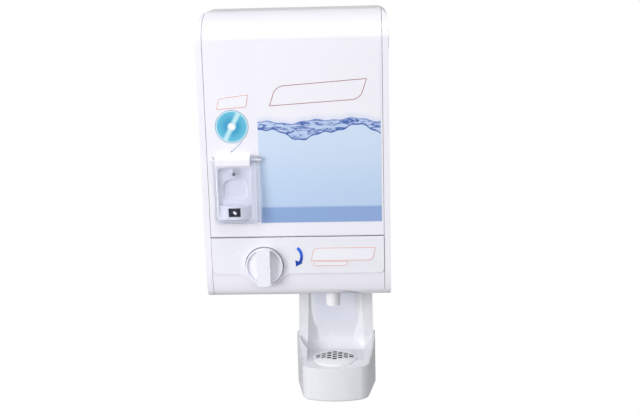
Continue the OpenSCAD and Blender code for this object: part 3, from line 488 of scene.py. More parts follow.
def film(name, roughness=0.24):
    """A printed film: a smooth sheet with a little unevenness in its gloss."""
    made, shader = material(name)
    link(made, spread(made, noise(made, 140, 2), roughness * 0.94, roughness * 1.1),
         shader["Roughness"])
    link(made, relief(made, noise(made, 260, 2), 0.00001, 0.3), shader["Normal"])
    return made, shader


def plain_film(name, colour, roughness=0.3):
    """A film of one even colour."""
    made, shader = film(name, roughness)
    shader["Base Color"].default_value = colour
    return made


def printed_ring(name, corners, soft, width, y):
    """A thin printed line round a four-sided field; the soft corners are rounded, in mm."""
    bpy.ops.object.select_all(action="DESELECT")
    bpy.ops.mesh.primitive_plane_add(size=2, location=(0, 0, 0), rotation=(math.pi / 2, 0, 0))
    ring = settle(name)
    edit(ring)
    mesh = bmesh.from_edit_mesh(ring.data)
    order = sorted(mesh.verts, key=lambda v: math.atan2(v.co.z, v.co.x))
    for vert, (x, z) in zip(order, corners):
        vert.co = at(x, y, z)
    bmesh.update_edit_mesh(ring.data)
    for radius, (x, z) in zip(soft, corners):
        pick(ring, "VERT", lambda m, d, x=x, z=z: math.hypot(m.x - x, m.z - z) < 0.05)
        bpy.ops.mesh.bevel(offset=radius / 1000, segments=6, affect="VERTICES")
    bpy.ops.mesh.select_all(action="SELECT")
    bpy.ops.mesh.inset(thickness=width / 1000)
    bpy.ops.mesh.delete(type="FACE")
    done()
    return ring


def print_on(mark, ink, body="housing"):
    place_on(mark, body, "label_film", ink)


PLATE_PRINT, LABEL_PRINT = -106.33, -105.33
white_film = plain_film("white_film", paint(240, 240, 248), 0.24)
finish(nodes["instruction_plate"], white_film)
orange_ink = plain_film("orange_ink", paint(220, 112, 62))
print_on(printed_ring("plate_line", ((15.4, 45.9), (88.4, 45.9), (92.1, 61.7), (19.1, 61.7)),
                      (1, 5, 1, 5), 0.5, PLATE_PRINT), orange_ink)
print_on(printed_ring("strip_line", ((18.3, 39.7), (57.6, 39.7), (59.2, 44.9), (19.8, 44.9)),
                      (0.8, 2.6, 0.8, 0.8), 0.42, PLATE_PRINT), orange_ink)
arrow_ink, shader = film("arrow_ink", 0.28)
across, up = across_and_up(arrow_ink)
link(arrow_ink, layer(arrow_ink, rising(arrow_ink, up, 40, 62), paint(6, 58, 160),
                      paint(38, 106, 226)), shader["Base Color"])
finish(nodes["arrow_plate"], arrow_ink)

# Front door: the tall glossy cover that tips down on two pins in a bead at its lower edge.
# It carries the floss side of the dispenser and has an opening for the floss bay.
door = housing_slice("door_shell", -COVER_SIDE, COVER_SIDE)
slice_off(door, (0, 0, DOOR_FOOT), (0, 0, -1))
slice_off(door, (0, -4, 0), (0, 1, 0))
carve(door, front_outline(0), "INTERSECT")
hollow_out(door)
carve(door, rod("bead", "X", HINGE, 2.5, -COVER_SIDE, COVER_SIDE, 48), "UNION")
carve(door, block("bay_opening", (-93, -108, 96.5), (-51, -100, 160.5)))
carve(door, block("keeper", (92, -35.8, 311), (96, -33.8, 335.5)), "UNION")
ease(door, 0.8)
place_on(door, "door", "white_shell", shell_white, "front_door")

# Front label: a large printed film on the door. Its print is a plain picture of water with
# a swell under a pale sky, and a thin empty frame is printed above it.
water, shader = film("water_print")
across, up = across_and_up(water)
surface = swell(water, across, 213.0, ((1.8, 130, 22), (1.3, 51, 8), (0.6, 19, 3)))
foot = swell(water, across, 199.5, ((6.6, 118, 40), (2.4, 47, 17), (0.8, 15, 2)))
above = reckon(water, "SUBTRACT", up, surface)
over_foot = reckon(water, "SUBTRACT", up, foot)
stretch = water.node_tree.nodes.new("ShaderNodeMapping")
stretch.inputs["Scale"].default_value = (70, 1, 260)
place = water.node_tree.nodes.new("ShaderNodeTexCoord")
link(water, place.outputs["Object"], stretch.inputs["Vector"])
flow = water.node_tree.nodes.new("ShaderNodeTexNoise")
flow.inputs["Scale"].default_value, flow.inputs["Detail"].default_value = 1.0, 8.0
flow.inputs["Distortion"].default_value = 1.6
link(water, stretch.outputs["Vector"], flow.inputs["Vector"])
ripple = flow.outputs["Fac"]
streaks = layer(water, rising(water, ripple, 0.38, 0.56), paint(70, 102, 176),
                paint(190, 207, 238))
depth_tone = layer(water, rising(water, up, 95, 210), paint(186, 208, 238),
                   paint(206, 222, 243))
bed = layer(water, rising(water, up, 110, 113.5), paint(142, 170, 216), depth_tone)
dark_edge = reckon(water, "ABSOLUTE", reckon(water, "SUBTRACT", over_foot, 0.8))
body = layer(water, rising(water, over_foot, -0.4, 0.4), bed, streaks)
body = layer(water, rising(water, dark_edge, 1.3, 0.2), body, paint(58, 92, 172))
sky = layer(water, rising(water, above, 0.5, 9), paint(222, 226, 243), paint(240, 239, 247))
rim_line = layer(water, rising(water, above, 0.0, 0.9), paint(96, 128, 196), sky)
link(water, layer(water, rising(water, above, -0.9, -0.1), body, rim_line), shader["Base Color"])
finish(nodes["front_label"], water)
russet_ink = plain_film("russet_ink", paint(150, 72, 66))
print_on(printed_ring("label_frame", ((-28, 231), (77, 237), (85, 261), (-20, 254)),
                      (0.8, 9, 0.8, 9), 0.75, LABEL_PRINT), russet_ink, "door")

# Floss tag and reel emblem: two printed films left of the label. The disc shows a plain
# bobbin seen from its end, and a printed thread leads from it to the floss bay.
finish(nodes["floss_tag"], white_film)
print_on(printed_ring("tag_line", ((-89, 228.2), (-54.6, 230.2), (-51.9, 245), (-86.2, 240.8)),
                      (0.6, 3.4, 0.6, 3.4), 0.5, LABEL_PRINT), orange_ink, "door")
bobbin, shader = film("bobbin_print", 0.18)
across, up = across_and_up(bobbin)
sideways = reckon(bobbin, "ADD", across, 72.0)
upwards = reckon(bobbin, "SUBTRACT", up, 208.0)
ring = reckon(bobbin, "SQRT", reckon(
    bobbin, "ADD", reckon(bobbin, "POWER", sideways, 2.0),
    reckon(bobbin, "POWER", upwards, 2.0)))
turns = reckon(bobbin, "SINE", reckon(bobbin, "MULTIPLY", ring, 6.5))
wound = layer(bobbin, rising(bobbin, turns, -1, 1), paint(86, 178, 212), paint(116, 200, 226))
wound = layer(bobbin, rising(bobbin, ring, 17, 5), wound, paint(64, 158, 202))
slant = reckon(bobbin, "ABSOLUTE", reckon(
    bobbin, "MULTIPLY_ADD", sideways, 1.9, reckon(bobbin, "MULTIPLY", upwards, -1.0)))
wound = layer(bobbin, rising(bobbin, slant, 9.5, 1.5), wound, paint(190, 232, 242))
inner = layer(bobbin, rising(bobbin, ring, 4.6, 5.2), paint(205, 228, 240), wound)
inner = layer(bobbin, rising(bobbin, ring, 3.0, 3.5), paint(246, 248, 252), inner)
rim = layer(bobbin, rising(bobbin, ring, 17.0, 17.6), inner, paint(196, 228, 240))
link(bobbin, layer(bobbin, rising(bobbin, ring, 18.5, 19.2), rim, paint(104, 148, 186)),
     shader["Base Color"])
finish(nodes["reel_badge"], bobbin)
thread = block("printed_thread", (-75.5, LABEL_PRINT, 184.5), (-58.2, -105.02, 184.9))
edit(thread)
bpy.ops.mesh.select_all(action="SELECT")
bpy.ops.transform.rotate(value=math.radians(42.3), orient_axis="Y",
                         center_override=at(-66.85, -105.2, 184.7))
done()
carve(thread, rod("thread_end", "Y", (-73.2, 0, 178.9), 0.9, LABEL_PRINT, -105.02, 24), "UNION")
print_on(thread, plain_film("thread_ink", paint(92, 132, 172)), "door")

# Knob: a thick-walled glossy cap with a raised grip bar across it and a sunk pocket on
# both sides of the bar. It is pressed on the pump's shaft.
knob = rod("grip_knob", "Y", KNOB_AXIS, 22, -112, -102.4, 128)
pocket = rod("pocket", "Y", KNOB_AXIS, 20.4, -113, -109, 128)
carve(pocket, block("bar_foot", (-48.5, -114, 10), (-31.5, -100, 70)))
carve(knob, pocket)
bar = block("bar", (-48.5, -121, 10), (-31.5, -110, 70))
edit(bar)
pick(bar, "FACE", lambda m, d: d.y < -0.9)
bpy.ops.transform.resize(value=(0.92, 1, 1), center_override=at(KNOB_X, -121, KNOB_Z))
done()
carve(bar, rod("bar_ends", "Y", KNOB_AXIS, 21.98, -125, -100, 128), "INTERSECT")
carve(knob, bar, "UNION")
carve(knob, rod("shaft_seat", "Y", KNOB_AXIS, 4, -114.4, -100, 48))
ease(knob, 0.9, 4)
knob_white = moulded("knob_white", paint(240, 240, 249), 0.28, 0.15)
place_on(knob, "knob", "knob_white", knob_white, "knob")

# Floss bay: a moulded recess let into the door, with a narrow lip round it. Its floor has a
# scooped hollow with an arched top, where fingertips reach the end of the floss.
bay = block("floss_recess", (-94.5, -105.4, 95), (-49.5, -105, 162))
carve(bay, block("tub", (-93, -105.2, 96.5), (-51, -98, 160.5)), "UNION")
carve(bay, block("scoop_back", (-89.5, -101, 118), (-54.5, -94, 147)), "UNION")
room = block("room", (-91, -107, 98.5), (-53, -100, 158.5))
fillet(room, 3.5, 6, lambda m, d: abs(d.y) > 0.99)
fillet(room, 1.6, 4, lambda m, d: abs(m.y + 100) < 0.1)
carve(bay, room)
scoop = block("scoop", (-86.5, -102, 120), (-57.5, -96, 145))
fillet(scoop, 11, 10, lambda m, d: abs(d.y) > 0.99 and m.z > 140)
fillet(scoop, 4, 6, lambda m, d: abs(d.y) > 0.99 and m.z < 125)
fillet(scoop, 3, 6, lambda m, d: abs(m.y + 96) < 0.1)
carve(bay, scoop)
ease(bay, 0.35)
bay_white = moulded("bay_white", paint(242, 241, 250), 0.25, 0.2)
place_on(bay, "door", "bay_white", bay_white, "floss_bay")

# Brow: the bright bar over the bay. It is screwed on from inside the door and holds the
# pins on which the hood swings.
brow = block("brow_bar", (-92.4, -115, 162.6), (-51.6, -105, 175))
fillet(brow, 1.5, 4, lambda m, d: abs(d.x) > 0.99 and m.y < -110 and m.z < 165)
fillet(brow, 5, 8, lambda m, d: abs(d.x) > 0.99 and m.y < -110 and m.z > 170)
ease(brow, 0.4)
place_on(brow, "door", "bay_white", bay_white, "floss_brow")

# Floss outlet: a small snout through which the floss leaves the door. Its bore is painted dark,
# as shade.
OUTLET_X, OUTLET_Z = -72, 152.5
bpy.ops.object.select_all(action="DESELECT")
bpy.ops.mesh.primitive_cone_add(vertices=48, radius1=0.005, radius2=0.0026, depth=0.007,
                                location=at(OUTLET_X, -103.5, OUTLET_Z),
                                rotation=(math.pi / 2, 0, 0))
snout = settle("floss_outlet")
carve(snout, rod("foot", "Y", (OUTLET_X, 0, OUTLET_Z), 3, -101, -98, 48), "UNION")
carve(snout, rod("eye", "Y", (OUTLET_X, 0, OUTLET_Z), 1.25, -110, -90, 24))
ease(snout, 0.35)
place_on(snout, "door", "bay_white", bay_white, "floss_nozzle")
# Painted shade on the wall of the bore.
shade_inside(snout, painted_shade, lambda m, d: math.hypot(m.x - OUTLET_X, m.z - OUTLET_Z) < 1.35)

# Cutter block: a bowed white block at the foot of the bay, which carries the cutter plate in
# a shallow seat.
holder = rod("cutter_block", "Z", (OUTLET_X, -91, 0), 23, 99, 114.5, 160)
carve(holder, block("trim", (-90.7, -114.5, 98), (-53.3, -100, 116)), "INTERSECT")
carve(holder, block("plate_seat", (-79, -116, 102.5), (-65, -113, 113)))
ease(holder, 0.5)
place_on(holder, "door", "bay_white", bay_white, "cutter_holder")

# Cutter plate: a small blackened steel plate let into the block, with a bright tooth bent
# out of it, over which the floss is torn off.
cutter_steel = plated("cutter_steel", paint(40, 40, 58), 0.34, 1400)
shader = cutter_steel.node_tree.nodes["Principled BSDF"].inputs
outward = reckon(cutter_steel, "MULTIPLY", own_xyz(cutter_steel)["Y"], -1000.0)
link(cutter_steel, layer(cutter_steel, rising(cutter_steel, outward, 113.55, 113.8),
                         paint(38, 38, 56), paint(232, 232, 236)), shader["Base Color"])
shader["Metallic"].default_value = 0.4
finish(break_edges("cutter_blade", 0.06), cutter_steel)

# Clear hood: a thin tapered cover of clear plastic over the bay, open towards the door.
# Two ears at its top turn on white pins in the brow, and its rim is rounded all round.
HOOD_PIVOT = (0, -110.1, 169.4)
hood = block("hood_shell", (-97, -121.2, 95.3), (-38.5, -105.7, 173.8))
edit(hood)
for side, inward in ((-1, 0.004), (1, -0.0055)):
    pick(hood, "VERT", lambda m, d, s=side: m.y < -120 and (m.x + 67.75) * s > 0)
    bpy.ops.transform.translate(value=(inward, 0, 0))
pick(hood, "VERT", lambda m, d: m.y < -120 and m.z > 170)
bpy.ops.transform.translate(value=(0, 0.0061, 0))
done()
fillet(hood, 2.6, 6, lambda m, d: m.y < -106.5)
edit(hood)
pick(hood, "FACE", lambda m, d: d.y > 0.99)
bpy.ops.mesh.delete(type="FACE")
done()
wall = hood.modifiers.new("wall", "SOLIDIFY")
wall.thickness, wall.offset, wall.use_even_offset = 0.0018, -1, True
apply(hood, wall)
carve(hood, block("front_window", (-92.8, -140, 161), (-51.2, -100, 200)))
carve(hood, block("ear_front", (-73, -140, 161), (-47, -114.5, 200)))
crown = block("crown", (-99, -140, HOOD_PIVOT[2]), (-36, -60, 200))
carve(crown, rod("ear", "X", HOOD_PIVOT, 4.4, -100, -35, 48))
carve(hood, crown)
carve(hood, rod("ear_boss", "X", HOOD_PIVOT, 3.1, -51.2, -41.6, 48), "UNION")
for ends in ((-98, -90.8), (-53, -38)):
    carve(hood, rod("pin_hole", "X", HOOD_PIVOT, 1.56, *ends, 32))
ease(hood, 0.35, 2)
clear, shader = material("clear_plastic")
shader["Base Color"].default_value = paint(240, 244, 254)
shader["Transmission Weight"].default_value = 1
shader["IOR"].default_value = 1.46
shader["Alpha"].default_value = 0.54
link(clear, spread(clear, noise(clear, 60), 0.02, 0.06), shader["Roughness"])
link(clear, relief(clear, noise(clear, 90, 2), 0.00003, 0.4), shader["Normal"])
place_on(hood, "hood", "clear_plastic", clear, "clear_hood")
finish(break_edges("hood_pins", 0.25, 3), satin_white)

# Drip station: the frame that hangs under the housing. Two arms with a scooped back between
# them run down into the tray's deck, which is dished and has a low rim round its front.
STATION_X = 40.3
GRILLE_X, GRILLE_Y = 39, -47
GRILLE_AXIS = (GRILLE_X, GRILLE_Y, 0)


def inside_cup(name, t, low, high, back=-0.6):
    """The drip cup's bowed plan, drawn in by t, between two heights."""
    made = block(name, (STATION_X - 50.1 + t, -88 + t, low),
                 (STATION_X + 50.1 - t, back - t, high))
    for side in (-1, 1):
        flank = Vector((side * 56, -10, 0)).normalized()
        slice_off(made, Vector((STATION_X + side * 50.1, -20, 0)) - flank * t, flank)
        bow = Vector((side * 12, -40.1, 0)).normalized()
        slice_off(made, Vector((STATION_X + side * 40.1, -76, 0)) - bow * t, bow)
    edit(made)
    uprights = pick(made, "EDGE", lambda m, d: abs(d.z) > 0.99 and (back > -1 or m.y < -21))
    done()
    for corner in uprights:
        if corner.y > -15:
            radius = 2
        elif corner.y > -40:
            radius = 8
        else:
            radius = 16 if abs(corner.x - STATION_X) > 10 else 80
        if back < -1:
            radius += 7
        fillet(made, max(radius - t, 0.5), 10, lambda m, d, c=corner:
               abs(d.z) > 0.99 and math.hypot(m.x - c.x, m.y - c.y) < 0.05)
    return made


def eased(table, z):
    """Values between the rows of a table, which starts with the place of each row."""
    rows = sorted(table)
    z = min(max(z, rows[0][0]), rows[-1][0])
    for a, b in zip(rows, rows[1:]):
        if z <= b[0]:
            share = (z - a[0]) / (b[0] - a[0])
            share = share * share * (3 - 2 * share) * 0.5 + share * 0.5
            return [p + (q - p) * share for p, q in zip(a[1:], b[1:])]


def above_rim(name):
    """Everything over the tray's rim line, which sweeps down from the arms to the front."""
    back, front, lowest = 5, -100, -100.5
    made = block(name, (-20, front, lowest), (100, back, 30))
    line = ((front, lowest), (-66, -99.6), (-50, -97), (-38, -91.5), (-29, -84.5),
            (-21, -79), (-10, -77.8), (back, -77.8))
    cuts = [-96 + 2.5 * i for i in range(39)]
    edit(made)
    for y in cuts:
        bpy.ops.mesh.select_all(action="SELECT")
        bpy.ops.mesh.bisect(plane_co=at(0, y, 0), plane_no=(0, 1, 0))
    for y in [front, back] + cuts:
        if pick(made, "VERT", lambda m, d, y=y: abs(m.y - y) < 0.1 and m.z < 0):
            rise = (eased(line, y)[0] - lowest) / 1000
            bpy.ops.transform.translate(value=(0, 0, rise))
    done()
    return made


DECK_FOOT = -99
station = block("station_body", (STATION_X - 48.2, -20, DECK_FOOT), (STATION_X + 48.2, 0, 0))
edit(station)
for side, inward in ((-1, 0.003), (1, -0.001)):
    pick(station, "VERT", lambda m, d, s=side: m.z > -1 and (m.x - STATION_X) * s > 0)
    bpy.ops.transform.translate(value=(inward, 0, 0))
done()
tray = inside_cup("tray", 1.9, -101.5, -60)
carve(tray, above_rim("over"))
carve(station, tray, "UNION")

# The dish of the deck: ten rows, each drawn in by the same step and dropped less than the last.
bowl = inside_cup("bowl", 3.6, -81, 0, -16.4)
half_x, half_y, row_step, row_curve = 46.5, 32.2, 2.4, 0.18
edit(bowl)
pick(bowl, "FACE", lambda m, d: d.z < -0.9 and m.z < -80)
for i in range(10):
    inset, deeper = row_step * i, row_step * (i + 1)
    drop = row_curve * ((10 - i) ** 2 - (9 - i) ** 2)
    bpy.ops.mesh.extrude_region_move(TRANSFORM_OT_translate={"value": (0, 0, -drop / 1000)})
    bpy.ops.transform.resize(value=((half_x - deeper) / (half_x - inset),
                                    (half_y - deeper) / (half_y - inset), 1),
                             center_override=at(STATION_X, -52.2, DECK_FOOT))
done()
carve(station, bowl)

# The scooped back: rows of height, half width in front, half width at the back, and depth.
half_scoop, scoop_depth, scoop_top = 34, 14, 3
scoop = block("scoop", (STATION_X - half_scoop, -60, DECK_FOOT),
              (STATION_X + half_scoop, -6, scoop_top))
rows = ((scoop_top, 33, 31, 1.5), (-45, 34.5, 31, 3), (-62, 35.5, 28.5, 6), (-76, 36.2, 24, 10.5),
        (-84, 36.3, 23, 11), (-91, 36.4, 22, 7), (DECK_FOOT, 36.5, 21, 0.4))
edit(scoop)
bpy.ops.mesh.select_all(action="SELECT")
bpy.ops.mesh.bisect(plane_co=at(0, -20, 0), plane_no=(0, 1, 0))
heights = [-95 + 4 * i for i in range(24)]
for z in heights:
    bpy.ops.mesh.select_all(action="SELECT")
    bpy.ops.mesh.bisect(plane_co=at(0, 0, z), plane_no=(0, 0, 1))
for z in [DECK_FOOT, scoop_top] + heights:
    front_half, back_half, depth = eased(rows, z)
    for side in (-1, 1):
        pick(scoop, "VERT", lambda m, d, s=side, z=z:
             abs(m.z - z) < 0.1 and m.y < -10 and (m.x - STATION_X) * s > 0)
        bpy.ops.transform.translate(value=(side * (front_half - half_scoop) / 1000, 0, 0))
        pick(scoop, "VERT", lambda m, d, s=side, z=z:
             abs(m.z - z) < 0.1 and m.y > -7 and (m.x - STATION_X) * s > 0)
        bpy.ops.transform.translate(value=(side * (back_half - half_scoop) / 1000,
                                           (depth - scoop_depth) / 1000, 0))
done()
carve(station, scoop)
carve(station, rod("grille_seat", "Z", GRILLE_AXIS, 28.2, -100, -87, 96))
carve(station, rod("drain", "Z", GRILLE_AXIS, 24.5, -106, -96, 96))
for arm in (STATION_X - 40.5, STATION_X + 40.5):
    carve(station, block("arm_hollow", (arm - 3, -17.5, -91), (arm + 3, 2, -2.5)))
ease(station, 0.6)
station_white = moulded("station_white", paint(238, 240, 245), 0.26, 0.15)
place_on(station, "housing", "station_white", station_white, "station_frame")

# Drip cup: the deep cup that catches what runs through the grille. It slides off the
# frame's rails to be emptied, its rim follows the rim of the tray, and its inside is painted
# grey, as shade.
cup = inside_cup("cup_shell", 0, -144, -60)
fillet(cup, 3, 6, lambda m, d: m.z < -143.9)
carve(cup, above_rim("over"))
carve(cup, inside_cup("cup_room", 1.7, -141.5, 0))
carve(cup, block("back_gap", (-12, -4, -105.5), (92, 2, -40)))
ease(cup, 0.5)
# Painted shade: the cup's white is a darker copy of the frame's white plastic.
cup_shaded_white = moulded("cup_shaded_white", paint(229, 232, 237), 0.26, 0.15)
place_on(cup, "drip_cup", "station_white", cup_shaded_white, "drip_cup")
# Painted shade: the cup's inner floor and walls are painted grey.
cup_painted_shade = moulded("cup_painted_shade", paint(118, 121, 130), 0.45)
shade_inside(cup, cup_painted_shade, lambda m, d: -143 < m.z < -102 and (
    d.z > 0.5 or (m.x - STATION_X) * d.x + (m.y + 42) * d.y < 0))

# Drain grille: a shallow domed disc with rows of short slots, which lies loose in its seat.
# The walls of the slots are painted dark, as shade.
disc_radius, dome = 27.9, 112.9
grille = rod("grille_disc", "Z", GRILLE_AXIS, disc_radius, -100, -98.5, 120)
edit(grille)
pick(grille, "FACE", lambda m, d: d.z > 0.99)
before = disc_radius
for i in range(1, 11):
    radius = disc_radius * (1 - i / 11)
    bpy.ops.mesh.inset(thickness=(before - radius) / 1000)
    rise = math.sqrt(dome ** 2 - radius ** 2) - math.sqrt(dome ** 2 - before ** 2)
    bpy.ops.transform.translate(value=(0, 0, rise / 1000))
    before = radius
done()
slots = []
for i, count in enumerate((2, 3, 4, 5, 4, 3, 2)):
    for j in range(count):
        x, y = GRILLE_X + (i - 3) * 7, GRILLE_Y + (j - (count - 1) / 2) * 6
        slots.append(block("slot", (x - 2.75, y - 1.75, -102), (x + 2.75, y + 1.75, -90)))
activate(*slots)
bpy.ops.object.join()
carve(grille, slots[0])
ease(grille, 0.25, 2)
# Painted light: the grille and the nozzle get a lighter copy of the frame's white plastic, to
# make up for the shade they lie in under the housing.
painted_light_white = moulded("painted_light_white", paint(249, 250, 253), 0.26, 0.15)
place_on(grille, "grille", "station_white", painted_light_white, "drain_grille")
# Painted shade on the walls of the slots.
shade_inside(grille, painted_shade, lambda m, d: abs(d.z) < 0.35
             and math.hypot(m.x - GRILLE_X, m.y - GRILLE_Y) < 26.5)

# Mouthwash nozzle: a white tube under the housing, with a cup-shaped mouth round its jet.
nozzle = rod("outlet_tube", "Z", NOZZLE_AXIS, 8.75, -23.5, 2.5, 96)
carve(nozzle, rod("flange", "Z", NOZZLE_AXIS, 11.95, 2.5, 4.5, 96), "UNION")
carve(nozzle, rod("mouth", "Z", NOZZLE_AXIS, 7.15, -31, -8, 64))
carve(nozzle, rod("jet", "Z", NOZZLE_AXIS, 3.5, -20.5, -7, 48), "UNION")
carve(nozzle, rod("bore", "Z", NOZZLE_AXIS, 1.8, -31, 20, 32))
ease(nozzle, 0.6)
# Painted light: the nozzle's lighter white makes up for the shade under the housing.
place_on(nozzle, "housing", "station_white", painted_light_white, "mouthwash_nozzle")

# Station plate: a bare pale film glued on the scooped back of the station.
pale_film, shader = film("pale_film", 0.2)
link(pale_film, blended(pale_film, noise(pale_film, 12), paint(228, 231, 244),
                        paint(238, 240, 250)), shader["Base Color"])
finish(break_edges("station_plate", 0.1), pale_film)

# Reel holder and reel: a grey spindle inside the door carries the white spool between a
# flange and a cap, and a spring washer brakes it.
REEL_X, REEL_Z = -72, 197
spindle_grey = moulded("spindle_grey", paint(196, 197, 202), 0.4)
for name in ("reel_spindle", "spindle_cap"):
    finish(break_edges(name, 0.3, 3), spindle_grey)
spool_white = moulded("spool_white", paint(232, 232, 230), 0.36)
finish(break_edges("reel_spool", 0.3, 3), spool_white)

# Floss winding: waxed yarn wound level on the spool, turn beside turn, over the layers
# below it. It turns with the spool.
YARN_RADIUS, TURN_RADIUS, TURN_PITCH = 0.00036, 0.02164, 0.000715
bpy.ops.object.select_all(action="DESELECT")
bpy.ops.mesh.primitive_circle_add(vertices=8, radius=YARN_RADIUS, location=(TURN_RADIUS, 0, 0))
winding = settle("floss_turns")
coil = winding.modifiers.new("coil", "SCREW")
coil.axis, coil.screw_offset, coil.iterations = "Y", TURN_PITCH, 31
coil.steps = coil.render_steps = 40
apply(winding, coil)
edit(winding)
bpy.ops.mesh.select_all(action="SELECT")
bpy.ops.transform.translate(value=at(REEL_X, -96.1, REEL_Z))
done()
core = rod("floss_core", "Y", (REEL_X, 0, REEL_Z), 21.45, -96.4, -73.6, 96)
carve(core, rod("hub_room", "Y", (REEL_X, 0, REEL_Z), 8.05, -98, -72, 64))
activate(winding, core)
bpy.ops.object.join()
bpy.ops.object.shade_smooth_by_angle(angle=math.radians(50))
yarn, shader = material("waxed_yarn")
fuzz = noise(yarn, 1800, 4)
link(yarn, blended(yarn, fuzz, paint(222, 230, 232), paint(246, 249, 249)),
     shader["Base Color"])
link(yarn, relief(yarn, fuzz, 0.00008, 0.7), shader["Normal"])
shader["Roughness"].default_value = 0.55
place_on(winding, "reel", "floss_yarn", yarn, "floss_winding")

# Floss strand: two twisted plies that run from the reel through the wire guide and out
# through the outlet, where they end just past its mouth.
way = [at(-49.3, -85, REEL_Z), at(-49.3, -85, 165.8), at(OUTLET_X, -97, OUTLET_Z),
       at(OUTLET_X, -107.4, OUTLET_Z)]
PLY_RADIUS, PLY_OFFSET, LAY_LENGTH, PLY_STEP = 0.00019, 0.00016, 0.0016, 0.00025
twisted = bpy.data.curves.new("floss_plies", "CURVE")
twisted.dimensions, twisted.bevel_depth, twisted.bevel_resolution = "3D", PLY_RADIUS, 1
for ply in (0, math.pi):
    places, gone = [], 0.0
    for start, end in zip(way, way[1:]):
        along = end - start
        side = along.cross(Vector((1, 0.3, 0.2))).normalized() * PLY_OFFSET
        count = max(round(along.length / PLY_STEP), 1)
        for i in range(count):
            turn = ply + 2 * math.pi * (gone + along.length * i / count) / LAY_LENGTH
            places.append(start + along * i / count + Matrix.Rotation(turn, 3, along) @ side)
        gone += along.length
    run = twisted.splines.new("POLY")
    run.points.add(len(places) - 1)
    for point, place in zip(run.points, places):
        point.co = (*place, 1)
plies = bpy.data.objects.new("floss_plies", twisted)
bpy.context.scene.collection.objects.link(plies)
activate(plies)
bpy.ops.object.convert(target="MESH")
place_on(plies, "door", "floss_yarn", yarn, "floss_strand")

# Dosing pump: a grey housing and lid, an orange rotor with three pale rollers, and a soft
# milky tube that the rollers press against the housing's round wall.
pump_grey = moulded("pump_grey", paint(128, 138, 152), 0.42)
for name in ("pump_body", "pump_cover"):
    finish(break_edges(name, 0.4, 3), pump_grey)
finish(break_edges("pump_rotor", 0.3, 3), moulded("rotor_orange", paint(222, 116, 40), 0.4))
roller_pale = moulded("roller_pale", paint(226, 226, 220), 0.45)
for name in ("roller_1", "roller_2", "roller_3"):
    finish(break_edges(name, 0.3, 3), roller_pale)
silicone, shader = material("soft_silicone")
link(silicone, blended(silicone, noise(silicone, 40), paint(204, 216, 224),
                       paint(226, 234, 240)), shader["Base Color"])
link(silicone, spread(silicone, noise(silicone, 300), 0.22, 0.36), shader["Roughness"])
shader["Coat Weight"].default_value = 0.4
finish(nodes["pump_tube"], silicone)

# Refill bag: a pillow of blue film filled with mouthwash, with a welded margin and an eye
# at its top for the grey hook. Its blue connector is welded in at the foot.
finish(break_edges("bag_hook", 0.3, 3), spindle_grey)
finish(break_edges("bag_connector", 0.3, 3), moulded("connector_blue", paint(34, 74, 170), 0.35))
BAG_MIDDLE, BAG_HALF_DEPTH, CLOTH_FRAMES = -60, 21.3, 20
bag = block("refill_bag", (-23, -67, 109), (81, -53, 283))
fillet(bag, 12, 4, lambda m, d: abs(d.y) > 0.99)
grid = bag.modifiers.new("grid", "REMESH")
grid.mode, grid.voxel_size = "VOXEL", 0.004
apply(bag, grid)
bpy.context.scene.gravity = (0, 0, 0)
film_of = bag.modifiers.new("film", "CLOTH")
film_of.settings.use_pressure = True
film_of.settings.uniform_pressure_force = 4
film_of.point_cache.frame_end = CLOTH_FRAMES
for moment in range(1, CLOTH_FRAMES + 1):
    bpy.context.scene.frame_set(moment)
apply(bag, film_of)
bpy.context.scene.frame_set(1)
edit(bag)
for side in (-1, 1):
    if pick(bag, "VERT", lambda m, d, s=side: (m.y - BAG_MIDDLE) * s > BAG_HALF_DEPTH):
        bpy.ops.transform.resize(value=(1, 0, 1), center_override=at(
            0, BAG_MIDDLE + side * BAG_HALF_DEPTH, 0))
done()
smooth = bag.modifiers.new("smooth", "SUBSURF")
smooth.levels = smooth.render_levels = 1
apply(bag, smooth)
margin = block("margin", (-26.6, -60.5, 106.5), (84.6, -59.5, 302.4))
fillet(margin, 9, 6, lambda m, d: abs(d.y) > 0.99)
carve(margin, rod("eyelet", "Y", (29, 0, 291.8), 5, -65, -55, 48))
carve(bag, margin, "UNION")
carve(bag, rod("neck", "Z", (29, -60, 0), 8, 104.8, 116, 48), "UNION")
ease(bag, 0.2, 1, 60)
blue_film, shader = material("blue_film")
crease = noise(blue_film, 70, 6)
link(blue_film, blended(blue_film, noise(blue_film, 14), paint(70, 150, 206),
                        paint(104, 178, 224)), shader["Base Color"])
link(blue_film, spread(blue_film, crease, 0.12, 0.3), shader["Roughness"])
link(blue_film, relief(blue_film, crease, 0.0012, 0.6), shader["Normal"])
shader["Coat Weight"].default_value = 0.5
place_on(bag, "housing", "bag_film", blue_film, "mouthwash_bag")

# Camera, floor and light: the photo's view, from a little right of the middle and above, a
# pale floor far below the dispenser, a dim world and three soft lamps in front and above.
camera = bpy.data.objects.new("camera", bpy.data.cameras.new("camera"))
bpy.context.scene.collection.objects.link(camera)
yaw, pitch, roll = (math.radians(a) for a in (2.56, 13.35, -1.48))
ahead = Vector((-math.sin(yaw) * math.cos(pitch), math.cos(yaw) * math.cos(pitch),
                -math.sin(pitch)))
level = Vector((math.cos(yaw), math.sin(yaw), 0))
upward = level.cross(ahead)
right = level * math.cos(roll) + upward * math.sin(roll)
over = upward * math.cos(roll) - level * math.sin(roll)
camera.matrix_world = Matrix.Translation(at(83.6, -1353.7, 408.9)) @ Matrix(
    (right, over, -ahead)).transposed().to_4x4()
camera.data.lens = 61.67
camera.data.sensor_width = 36
bpy.context.scene.camera = camera

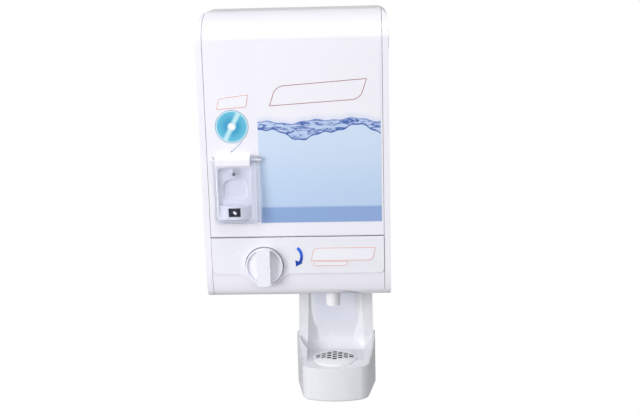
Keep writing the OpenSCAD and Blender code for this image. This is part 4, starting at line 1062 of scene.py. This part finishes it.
bpy.ops.object.select_all(action="DESELECT")
bpy.ops.mesh.primitive_circle_add(vertices=96, radius=9, fill_type="NGON",
                                  location=(0, 0, -0.75))
floor = settle("floor")
floor_paint, shader = material("floor_paint")
shader["Base Color"].default_value = (0.4, 0.4, 0.4, 1)
shader["Roughness"].default_value = 0.9
seen = floor_paint.node_tree.nodes.new("ShaderNodeLightPath")
glow = floor_paint.node_tree.nodes.new("ShaderNodeEmission")
either = floor_paint.node_tree.nodes.new("ShaderNodeMixShader")
link(floor_paint, seen.outputs["Is Camera Ray"], either.inputs[0])
link(floor_paint, floor_paint.node_tree.nodes["Principled BSDF"].outputs[0], either.inputs[1])
link(floor_paint, glow.outputs[0], either.inputs[2])
link(floor_paint, either.outputs[0],
     floor_paint.node_tree.nodes["Material Output"].inputs["Surface"])
finish(floor, floor_paint)

# The world is brighter above than below. The camera sees it white, also through the clear hood.
world = bpy.data.worlds.new("studio")
bpy.context.scene.world = world
world.use_nodes = True
tree = world.node_tree
background = tree.nodes["Background"]
path = tree.nodes.new("ShaderNodeLightPath")
bright = tree.nodes.new("ShaderNodeMath")
bright.operation = "MAXIMUM"
tree.links.new(path.outputs["Is Camera Ray"], bright.inputs[0])
tree.links.new(path.outputs["Is Transmission Ray"], bright.inputs[1])
aim = tree.nodes.new("ShaderNodeTexCoord")
height = tree.nodes.new("ShaderNodeSeparateXYZ")
tree.links.new(aim.outputs["Generated"], height.inputs[0])
dusk = tree.nodes.new("ShaderNodeMapRange")
dusk.inputs["From Min"].default_value, dusk.inputs["From Max"].default_value = -0.4, 0.4
dusk.inputs["To Min"].default_value, dusk.inputs["To Max"].default_value = 0.2, 0.66
tree.links.new(height.outputs["Z"], dusk.inputs["Value"])
level_of = tree.nodes.new("ShaderNodeMapRange")
tree.links.new(dusk.outputs["Result"], level_of.inputs["To Min"])
level_of.inputs["To Max"].default_value = 1.0
tree.links.new(bright.outputs[0], level_of.inputs["Value"])
tree.links.new(level_of.outputs["Result"], background.inputs["Strength"])
background.inputs["Color"].default_value = (1, 1, 1, 1)


def lamp(name, place, size, watts):
    """A soft square lamp that faces the dispenser."""
    light = bpy.data.lights.new(name, "AREA")
    light.size, light.energy = size, watts
    made = bpy.data.objects.new(name, light)
    bpy.context.scene.collection.objects.link(made)
    made.location = place
    facing = Vector((0, 0, -0.02)) - Vector(place)
    made.rotation_euler = facing.to_track_quat("-Z", "Y").to_euler()


lamp("key", (-1.4, -1.5, 0.15), 0.9, 23)
lamp("fill", (0.2, -1.7, 0.8), 1.0, 3)
lamp("top", (0.1, -0.7, 1.9), 0.8, 10.5)
bpy.context.scene.view_settings.view_transform = "Standard"
